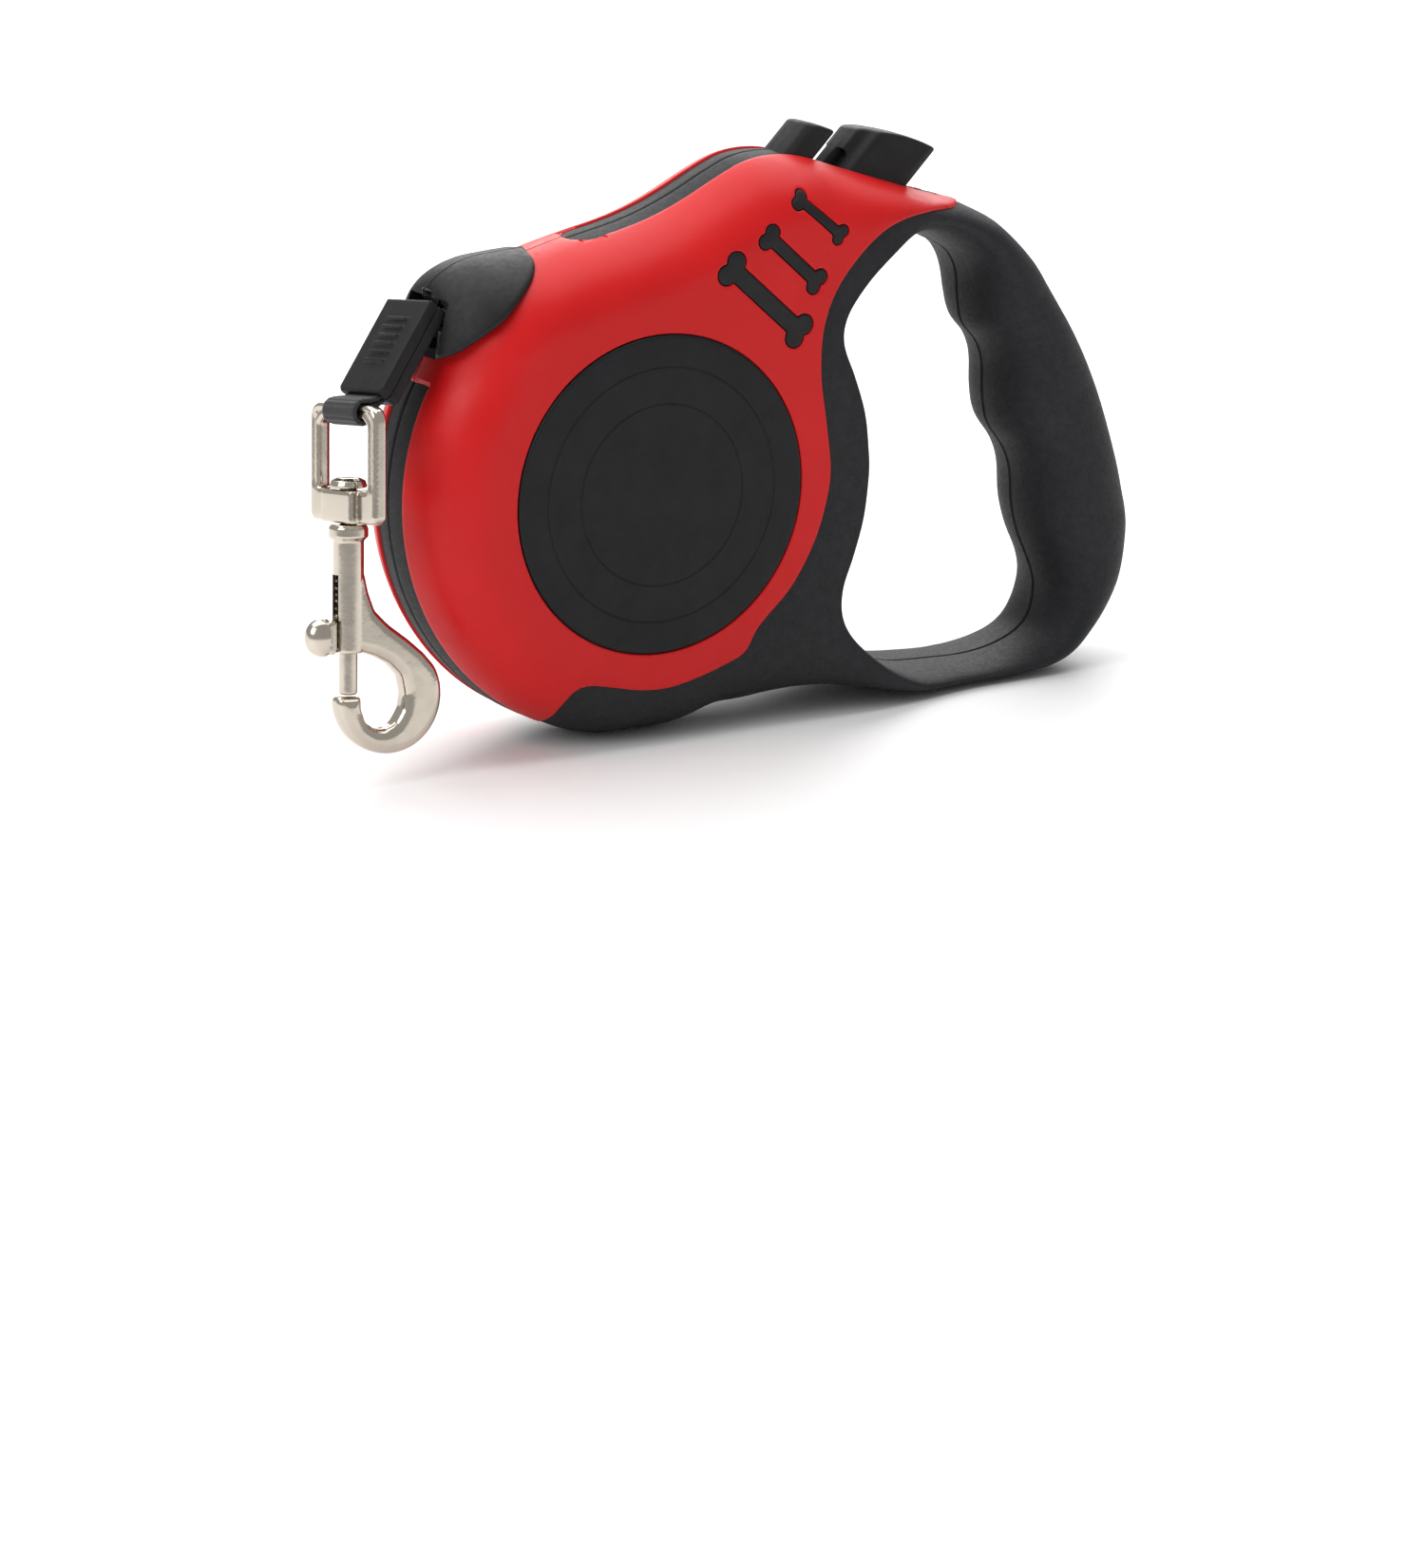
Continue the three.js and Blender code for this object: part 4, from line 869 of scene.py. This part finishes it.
def clip_piece(front):
    split = -CLIP["thick"] / 2
    depths = (0.02, 0.08, 0.17, 0.28, 0.42, 0.6, 0.9)
    ridges = hex_grid((-3.3, -14.3), (3.3, -3.2), 0.2) if front else None

    def face(plan, depth):
        return (ridge_height(plan) if front else 0) - fillet(depth, 0.55)

    def seam(plan, depth):
        return np.full(len(plan), split + 0.06) + fillet(depth, 0.12)

    def back(plan, depth):
        return -CLIP["thick"] + fillet(depth, 0.55)

    def back_seam(plan, depth):
        return np.full(len(plan), split - 0.06) - fillet(depth, 0.12)

    matrix = clip_frame() @ CLIP_PLAN
    name = "clip_shell_front" if front else "clip_shell_back"
    pair = (face, seam) if front else (back_seam, back)
    piece = relief(name, [clip_line()], pair[0], pair[1], matrix, depths, 0.8, extra=ridges)
    slot = block((-5.1, split - 0.72, 1.0), (5.1, split + 0.72, CLIP["long"] + 2), clip_frame())
    return cut(piece, slot)


def block(low, high, matrix):
    """A box used only to cut other pieces."""
    vertices = [matrix @ Vector((x, y, z)) for x in (low[0], high[0]) for y in (low[1], high[1])
                for z in (low[2], high[2])]
    polygons = [(0, 1, 3, 2), (4, 6, 7, 5), (0, 4, 5, 1), (2, 3, 7, 6), (0, 2, 6, 4), (1, 5, 7, 3)]
    tool = build("tool", vertices, polygons)
    outward(tool)
    return tool


def ribbon(name, line, matrix, thick, rib=0.0, pitch=0.9):
    """Flat tape along a line in the (y, z) plane, with rounded selvedges and cross ribs."""
    normals = inwards(line, closed=False)
    steps = np.concatenate([[0], np.cumsum(np.hypot(*np.diff(line, axis=0).T))])
    half = TAPE_WIDTH / 2
    across = np.concatenate([np.linspace(-half, -half + 0.8, 5), np.linspace(-half + 1.3, half - 1.3, 9),
                             np.linspace(half - 0.8, half, 5)])
    edge = half - np.abs(across)
    full = rounded(edge, 0.45, 0.5) * 0.92 + 0.08
    vertices, rows = [], []
    for point, normal, at in zip(line, normals, steps):
        swell = rib * (0.5 + 0.5 * math.cos(2 * math.pi * at / pitch))
        row = []
        for side in (1, -1):
            order = range(len(across)) if side > 0 else range(len(across) - 1, -1, -1)
            for k in order:
                lift = side * (thick / 2 + swell * min(1.0, edge[k] / 0.8)) * full[k]
                row.append(len(vertices))
                y, z = point + normal * lift
                vertices.append(matrix @ Vector((across[k], y, z)))
        rows.append(row)
    polygons = [tuple(rows[0]), tuple(rows[-1][::-1])]
    for one, two in zip(rows, rows[1:]):
        count = len(one)
        polygons += [(one[(i + 1) % count], one[i], two[i], two[(i + 1) % count]) for i in range(count)]
    piece = build(name, vertices, polygons, sharp=60)
    outward(piece)
    shade(piece, 60)
    return piece


def tape_loop():
    middle, low = -CLIP["thick"] / 2, CLIP["long"] + LOOP["past"]
    turn = np.radians([-52, -20, 15, 52, 90, 128, 165, 200, 232])
    bend = [(LOOP["y"] + LOOP_R * math.cos(t), low + LOOP_R * math.sin(t)) for t in turn]
    points = [(middle + 0.43, 2.2), (middle + 0.43, 12), (middle + 0.43, CLIP["long"] - 0.6)] + bend
    points += [(middle - 0.43, CLIP["long"] - 0.6), (middle - 0.43, 12), (middle - 0.43, 2.2)]
    return ribbon("tape_loop_woven", spline(points, False, 0.11), clip_frame(), TAPE_THICK - 0.1, rib=0.13)


def pulled_tape():
    """Tape from inside the nozzle to the clip, as one fixed straight run out of the mouth."""
    across_tape = Matrix(((0, 1, 0, 0), (1, 0, 0, 0), (0, 0, 1, 0), (0, 0, 0, 1)))
    count = 260
    line = np.stack([np.linspace(TAPE_INSIDE_X, TAPE_END_X, count), np.full(count, TAPE_Z)], axis=1)
    return ribbon("tape_lead_woven", line, across_tape, TAPE_THICK - 0.05)


def fused(name, parts, voxel, rounds):
    """One cast piece from overlapping closed parts, with its inner corners softened."""
    bpy.ops.object.select_all(action="DESELECT")
    for part in parts:
        part.select_set(True)
    bpy.context.view_layer.objects.active = parts[0]
    bpy.ops.object.join()
    piece = parts[0]
    piece.name = name
    remesh = piece.modifiers.new("cast", "REMESH")
    remesh.mode = "VOXEL"
    remesh.voxel_size = voxel * MM
    soften = piece.modifiers.new("soften", "SMOOTH")
    soften.iterations = rounds
    soften.factor = 0.5
    apply_modifiers(piece)
    piece.data.name = name
    shade(piece, 60)
    return piece


def eye_piece():
    wide, top, low = EYE["wide"] / 2, EYE["top"], EYE["base_low"]
    corner = 2.6
    upper = [(wide - corner + corner * math.cos(t), top - corner + corner * math.sin(t))
             for t in np.linspace(0, math.pi / 2, 9)]
    outline = [(wide - 0.9, low), (wide, low + 0.9)] + upper
    outline += [(-x, z) for x, z in reversed(upper)] + [(-wide, low + 0.9), (-wide + 0.9, low)]
    inner, roof, floor = wide - EYE["bar"], top - EYE["bar"], EYE["base_top"]
    hole = [(-inner, floor), (inner, floor), (inner, roof - 1), (inner - 1, roof), (-inner + 1, roof),
            (-inner, roof - 1)]
    loops = [even(np.array(outline), True, 0.3, 0.25), even(np.array(hole), True, 0.3, 0.25)]
    matrix = hang_frame(EYE_DIRECTION) @ HANG_PLAN

    def face(plan, depth):
        groove = 0.28 * np.exp(-((depth - 1.3) / 0.42) ** 2) * smooth(low + 5.5, low + 7, plan[:, 1])
        return EYE["thick"] / 2 - fillet(depth, 0.9) - groove

    plate = relief("plate", loops, face, lambda p, d: -face(p, d), matrix,
                   (0.03, 0.1, 0.2, 0.34, 0.52, 0.72, 0.95, 1.2), 0.6)
    pad_half, pad_thick, pad_round = 4.3, 2.95, 0.7
    pad_low, pad_high = low + 0.02, floor - 0.02
    pad_plan = [(-pad_half, pad_low), (pad_half, pad_low), (pad_half, pad_high), (-pad_half, pad_high)]
    pad = relief("pad", [even(np.array(pad_plan), True, 0.3, 0.2)], lambda p, d: pad_thick - fillet(d, pad_round),
                 lambda p, d: -pad_thick + fillet(d, pad_round), matrix, (0.05, 0.15, 0.3, 0.5, 0.7), 0.6)
    piece = fused("swivel_eye_cast", [plate, pad], 0.13, 4)
    hole_rod = turned("tool", [(0, low - 1), (1.65, low - 1), (1.65, floor + 1), (0, floor + 1)],
                      hang_frame(EYE_DIRECTION), 48)
    return cut(piece, hole_rod)


def bow_line():
    """Outline of the hook's bow: a heel on the shank, a round belly and a nose below the gate."""
    belly = [(BOW["x"] + BOW["outer"] * math.cos(t), BOW["z"] + BOW["outer"] * math.sin(t))
             for t in np.linspace(BOW["start"], BOW["end"], 26)]
    heel = [(-1.5, -27), (1.2, -27.1), (2.6, -28.4), (3.3, -31.6), (4.6, -35), (7.3, -37.6),
            (11.2, -40.4), (14.2, -42.9)]
    inner = [(-2.5, -49.9), (1.9, -49.9), (2.0, -52.3), (2.9, -54.6), (4.6, -55.8), (6.4, -55.9), (8.4, -55),
             (9.8, -52.8), (10.3, -50), (9.6, -46.8), (7.4, -44.6), (4.8, -43.2), (2.4, -42.4), (-1.5, -42.2)]
    return even(np.array((heel + belly + inner)[::-1]), True, 0.3, soften=0.4)


def hook_piece():
    frame_hook = hang_frame(HOOK_DIRECTION)
    matrix = frame_hook @ HANG_PLAN

    def face(plan, depth):
        return 2.4 - fillet(depth, 1.9) * 0.9

    plate = relief("plate", [bow_line()], face, lambda p, d: -face(p, d), matrix,
                   (0.04, 0.14, 0.28, 0.46, 0.68, 0.95, 1.25, 1.7, 2.1, 2.5), 0.6)
    r, top, low = SHANK["r"], SHANK["top"], SHANK["low"]
    shank = [(0, low), (r - 0.5, low)] + arc_profile((r - 0.5, low + 0.5), 0.5, -90, 0, 5)
    under, over = EYE["base_low"], EYE["base_top"]
    collar = [(r, top - 2.4), (3.5, top - 1.7), (3.5, top - 0.2), (3.1, under - 0.3), (1.4, under - 0.3)]
    head = [(1.4, over + 0.3), (3.2, over + 0.3), (3.3, over + 0.6), (3.0, over + 1.5), (2.0, over + 2.05),
            (0, over + 2.2)]
    shaft = turned("shaft", shank + collar + head, frame_hook)
    piece = fused("hook_cast", [plate, shaft], 0.13, 4)
    hollow = [(0, -49.2), (SHANK["bore"], -49.2), (SHANK["bore"], -26.5), (0, -26.5)]
    bore = turned("tool", hollow, frame_hook, 48)
    slot = block((-4, -1.15, -44), (0, 1.15, -28.5), frame_hook)
    return cut(piece, bore, slot)


def gate_piece():
    frame_hook = hang_frame(HOOK_DIRECTION)
    bolt_profile = [(0, -49.6), (1.35, -49.6), (1.65, -49.3), (1.65, -35.9), (1.35, -35.6), (0, -35.6)]
    bolt = turned("bolt", bolt_profile, frame_hook)
    stem = block((-3.4, -0.85, -41.5), (0, 0.85, -37.4), frame_hook)
    plate_line = even(np.array([(-2, -42.3), (2, -42.3), (2, -36.4), (-2, -36.4)]), True, 0.25, 0.3)
    sideways = frame_hook @ Matrix(((0, 0, -1, 0), (-1, 0, 0, 0), (0, 1, 0, 0), (0, 0, 0, 1)))
    near, far, edge_round = 3.2, 4.5, 0.3
    flange = relief("flange", [plate_line], lambda p, d: far - fillet(d, edge_round),
                    lambda p, d: near + fillet(d, edge_round), sideways, (0.05, 0.15, 0.3), 0.6)
    turns = np.radians(np.linspace(0, 90, 14)[:-1])
    dome = [(math.cos(t) ** 0.8, math.sin(t)) for t in turns] + [(0, 1)]
    lengthwise = frame_hook @ Matrix(((0, 0, -3.7, -4.5), (2.6, 0, 0, 0), (0, -3.5, 0, -39.35), (0, 0, 0, 1)))
    vertices, polygons = lathe([(0, 0)] + dome, 96)
    knob = build("knob", [lengthwise @ Vector(v) for v in vertices], polygons)
    outward(knob)
    return fused("gate_cast", [bolt, stem, flange, knob], 0.11, 3)


# ---------- materials ----------
def principled(name, colour, roughness, metallic=0.0, **sockets):
    made = bpy.data.materials.new(name)
    made.use_nodes = True
    shader = made.node_tree.nodes["Principled BSDF"]
    shader.inputs["Base Color"].default_value = (*colour, 1)
    shader.inputs["Roughness"].default_value = roughness
    shader.inputs["Metallic"].default_value = metallic
    for socket, value in sockets.items():
        shader.inputs[socket.replace("_", " ")].default_value = value
    return made, shader


def node(made, kind, **values):
    fresh = made.node_tree.nodes.new(kind)
    for key, value in values.items():
        if key in fresh.inputs:
            fresh.inputs[key].default_value = value
        else:
            setattr(fresh, key, value)
    return fresh


def link(made, source, output, target, socket):
    made.node_tree.links.new(source.outputs[output], target.inputs[socket])


def grain(made, shader, layers):
    """Bump from one or more noise layers: (scale per metre, height in metres, detail)."""
    place = node(made, "ShaderNodeTexCoord")
    last = None
    for scale, height, detail in layers:
        noise = node(made, "ShaderNodeTexNoise", Scale=scale, Detail=detail, Roughness=0.55)
        link(made, place, "Object", noise, "Vector")
        bump = node(made, "ShaderNodeBump", Strength=1.0, Distance=height)
        link(made, noise, "Fac", bump, "Height")
        if last:
            link(made, last, "Normal", bump, "Normal")
        last = bump
    link(made, last, "Normal", shader, "Normal")
    return place


def vary(made, shader, place, socket, scale, low, high, detail=3.0):
    """Drives a value socket between low and high with soft noise."""
    noise = node(made, "ShaderNodeTexNoise", Scale=scale, Detail=detail)
    link(made, place, "Object", noise, "Vector")
    spread = node(made, "ShaderNodeMapRange")
    spread.inputs["From Min"].default_value = 0.3
    spread.inputs["From Max"].default_value = 0.7
    spread.inputs["To Min"].default_value = low
    spread.inputs["To Max"].default_value = high
    link(made, noise, "Fac", spread, "Value")
    link(made, spread, "Result", shader, socket)


def tint(made, shader, place, scale, dark, light, detail=4.0):
    """Drives the base colour between two near colours with soft noise."""
    noise = node(made, "ShaderNodeTexNoise", Scale=scale, Detail=detail)
    link(made, place, "Object", noise, "Vector")
    ramp = node(made, "ShaderNodeValToRGB")
    ramp.color_ramp.elements[0].position = 0.32
    ramp.color_ramp.elements[0].color = (*dark, 1)
    ramp.color_ramp.elements[1].position = 0.68
    ramp.color_ramp.elements[1].color = (*light, 1)
    link(made, noise, "Fac", ramp, "Fac")
    link(made, ramp, "Color", shader, "Base Color")


def red_plastic():
    made, shader = principled("red_satin", (0.56, 0.01, 0.012), 0.4, Specular_IOR_Level=0.24)
    place = grain(made, shader, [(900, 0.00001, 2.0), (5200, 0.000006, 1.0)])
    vary(made, shader, place, "Roughness", 420, 0.36, 0.46)
    tint(made, shader, place, 60, (0.55, 0.006, 0.007), (0.60, 0.008, 0.009))
    return made


def soft_black():
    made, shader = principled("soft_touch_black", (0.016, 0.017, 0.019), 0.6, Specular_IOR_Level=0.3)
    place = grain(made, shader, [(2600, 0.00005, 1.5), (700, 0.00003, 2.0)])
    vary(made, shader, place, "Roughness", 1500, 0.56, 0.7)
    tint(made, shader, place, 500, (0.009, 0.0095, 0.011), (0.014, 0.0145, 0.017))
    return made


def moulded_black():
    made, shader = principled("moulded_black", (0.010, 0.010, 0.012), 0.46, Specular_IOR_Level=0.27)
    place = grain(made, shader, [(3800, 0.00002, 1.0)])
    vary(made, shader, place, "Roughness", 900, 0.45, 0.58)
    tint(made, shader, place, 300, (0.007, 0.007, 0.008), (0.011, 0.011, 0.013))
    return made


def dial_black():
    made, shader = principled("dial_black", (0.010, 0.011, 0.012), 0.46, Specular_IOR_Level=0.2)
    place = grain(made, shader, [(3000, 0.000022, 1.5), (500, 0.00001, 1.0)])
    vary(made, shader, place, "Roughness", 350, 0.4, 0.54)
    tint(made, shader, place, 120, (0.008, 0.0085, 0.0095), (0.011, 0.0115, 0.013))
    return made


def woven_tape():
    """Black nylon: cross ribs with fine yarns along them and a soft sheen."""
    made, shader = principled("woven_tape", (0.012, 0.012, 0.013), 0.82, Sheen_Weight=0.35, Sheen_Roughness=0.4)
    place = grain(made, shader, [(5200, 0.00006, 2.0), (1500, 0.00004, 1.0)])
    vary(made, shader, place, "Roughness", 2500, 0.74, 0.9)
    tint(made, shader, place, 2600, (0.008, 0.008, 0.009), (0.022, 0.022, 0.024))
    return made


def plated(name, colour, roughness):
    made, shader = principled(name, colour, roughness, 1.0)
    place = grain(made, shader, [(260, 0.00003, 3.0), (2400, 0.000004, 2.0)])
    vary(made, shader, place, "Roughness", 300, roughness * 0.75, roughness * 1.4)
    tint(made, shader, place, 90, tuple(0.9 * c for c in colour), tuple(min(1.0, 1.05 * c) for c in colour))
    return made


def natural_nylon():
    made, shader = principled("natural_nylon", (0.7, 0.69, 0.65), 0.45, Subsurface_Weight=0.1,
                              Subsurface_Scale=0.002)
    place = grain(made, shader, [(1200, 0.00001, 2.0)])
    vary(made, shader, place, "Roughness", 500, 0.4, 0.52)
    tint(made, shader, place, 150, (0.67, 0.66, 0.61), (0.73, 0.72, 0.68))
    return made


FINISH = {
    "cover_red": red_plastic(), "grip_black": soft_black(), "trim_black": moulded_black(),
    "dial_black": dial_black(), "webbing": woven_tape(),
    "nickel": plated("warm_nickel", (0.60, 0.54, 0.46), 0.14),
    "zinc_steel": plated("zinc_plate", (0.52, 0.53, 0.55), 0.34),
    "spring_steel": plated("spring_steel", (0.42, 0.43, 0.46), 0.3), "spool_nylon": natural_nylon(),
}


def finish(piece, slot, body, *nodes):
    """Gives a new piece its finish, its body and the CAD nodes it stands for."""
    piece.data.materials.clear()
    piece.data.materials.append(FINISH[slot])
    if body:
        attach(piece, body)
    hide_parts(*nodes)
    return piece


def dress_cad_nodes():
    for entry in frame["record"]["subparts"]:
        carried = frame["nodes"][entry["node"]]
        carried.data.materials.clear()
        carried.data.materials.append(FINISH[entry["material_slot"]])


# ---------- the whole leash ----------
def tape_tool():
    """The tape's way out of the casing."""
    low = [(-50, 28.2), (-35.6, 29), (-35.2, 31.2), (-15, 31.2)]
    high = [(-15, 34.9), (-35.2, 34.9), (-35.6, 37), (-50, 37.6)]
    return prism(low + high, -6.3, 1)


def screw_recess(x, z):
    """Round recess over a screw head, open to the back."""
    radius, floor, top = 3.1, 6.2, 30
    backwards = Matrix(((1, 0, 0, x), (0, 0, 1, 0), (0, -1, 0, z), (0, 0, 0, 1)))
    return turned("tool", [(0, floor), (radius, floor), (radius, top), (0, top)], backwards, 48)


def clip_room(angle):
    """Room for the clip at the mouth when it is folded by an angle in degrees."""
    gap = 0.4
    half = CLIP["wide"] / 2 + gap
    fold = Vector((FOLD_AT[0], 0, FOLD_AT[1]))
    about = Matrix.Translation(fold) @ Matrix.Rotation(math.radians(angle), 4, "Y") @ Matrix.Translation(-fold)
    return block((-half, -CLIP["thick"] - gap, -0.6), (half, 2, CLIP["long"]), about @ clip_frame())


def make_casing():
    body = body_half()
    cover = cover_half()
    nozzle = nozzle_half()
    cut(body, button_well(BRAKE), button_well(LOCK), tape_tool())
    cut(cover, button_well(BRAKE), button_well(LOCK))
    cut(nozzle, tape_tool())
    dial = dial_piece()
    bones = [bone_piece(bone) for bone in BONES]
    pairs = [(body, "casing", "grip_black", "housing_{}_half"), (cover, "cover", "cover_red", "cover_panel_{}"),
             (nozzle, "nozzle", "trim_black", "nozzle_{}_half"), (dial, "dial", "dial_black", "dial_cover_{}")]
    pairs += [(piece, "bone_" + bone["size"], "trim_black", "bone_inlay_" + bone["size"] + "_{}")
              for piece, bone in zip(bones, BONES)]
    for front, stem, slot, cad in pairs:
        back = mirrored(front, stem + "_back")
        if stem == "casing":
            cut(back, *[screw_recess(x, z) for x, z in SCREWS])
        if stem == "nozzle":
            for half in (back, front):
                cut(half, *[clip_room(angle) for angle in CLIP_FOLDS])
        finish(front, slot, "housing", cad.format("front"))
        finish(back, slot, "housing", cad.format("back"))


def make_hanging():
    finish(clip_piece(front=True), "trim_black", "clip", "clip_front_shell")
    finish(clip_piece(front=False), "trim_black", "clip", "clip_back_shell")
    finish(tape_loop(), "webbing", "clip", "tape_loop")
    finish(eye_piece(), "nickel", "eye", "swivel_eye")
    finish(hook_piece(), "nickel", "hook", "hook_body")
    finish(gate_piece(), "nickel", "gate", "gate_bolt")
    tape = finish(pulled_tape(), "webbing", None, "tape_end")
    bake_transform(tape)


def make_buttons():
    finish(button_piece("brake_thumb_button", BRAKE), "trim_black", "brake", "brake_button")
    finish(button_piece("lock_thumb_button", LOCK), "trim_black", "lock", "lock_button")


# ---------- studio ----------
def light(name, place, target, size, power, colour=(1, 1, 1)):
    lamp = bpy.data.lights.new(name, "AREA")
    lamp.shape = "RECTANGLE"
    lamp.size, lamp.size_y = size
    lamp.energy = power
    lamp.color = colour
    holder = bpy.data.objects.new(name, lamp)
    bpy.context.scene.collection.objects.link(holder)
    holder.location = place
    holder.rotation_euler = (Vector(target) - Vector(place)).to_track_quat("-Z", "Y").to_euler()


def studio():
    floor = bpy.data.meshes.new("floor")
    reach = 3.0
    corners = [(-reach, -reach, 0), (reach, -reach, 0), (reach, reach, 0), (-reach, reach, 0)]
    floor.from_pydata(corners, [], [(0, 1, 2, 3)])
    ground = bpy.data.objects.new("floor", floor)
    bpy.context.scene.collection.objects.link(ground)
    made, shader = principled("pale_floor", (0.9, 0.9, 0.9), 0.6)
    floor.materials.append(made)
    world = bpy.data.worlds.new("studio")
    bpy.context.scene.world = world
    world.use_nodes = True
    sky = world.node_tree.nodes["Background"]
    sky.inputs["Color"].default_value = (1, 1, 1, 1)
    sky.inputs["Strength"].default_value = 0.46
    middle = (0, 0, 0.05)
    light("key", (-1.0, -0.2, 0.8), middle, (0.7, 0.7), 6.5)
    light("top", (0.1, 0.3, 1.3), middle, (1.9, 1.3), 18)
    light("rim", (0.6, 1.0, 0.7), middle, (1.0, 0.7), 8)
    bpy.context.scene.view_settings.view_transform = "Standard"


def camera():
    """View from the front left, a little above; the lens is shifted to hold the leash high in the picture."""
    place = SPOOL_AT + Vector((-468.49, -833.25, 215.92)) * MM
    azimuth, elevation = math.radians(-30.504), math.radians(12.008)
    look = Vector((-math.sin(azimuth) * math.cos(elevation), math.cos(azimuth) * math.cos(elevation),
                   -math.sin(elevation)))
    lens = bpy.data.cameras.new("view")
    lens.sensor_fit = "VERTICAL"
    lens.sensor_height = 36
    lens.lens = 124.3636
    lens.shift_x = -0.0060606
    lens.shift_y = -0.2393939
    lens.clip_start = 0.01
    holder = bpy.data.objects.new("view", lens)
    bpy.context.scene.collection.objects.link(holder)
    holder.location = place
    holder.rotation_euler = look.to_track_quat("-Z", "Y").to_euler()
    bpy.context.scene.camera = holder


camera()
studio()
dress_cad_nodes()
make_casing()
make_buttons()
make_hanging()
bpy.context.view_layer.update()
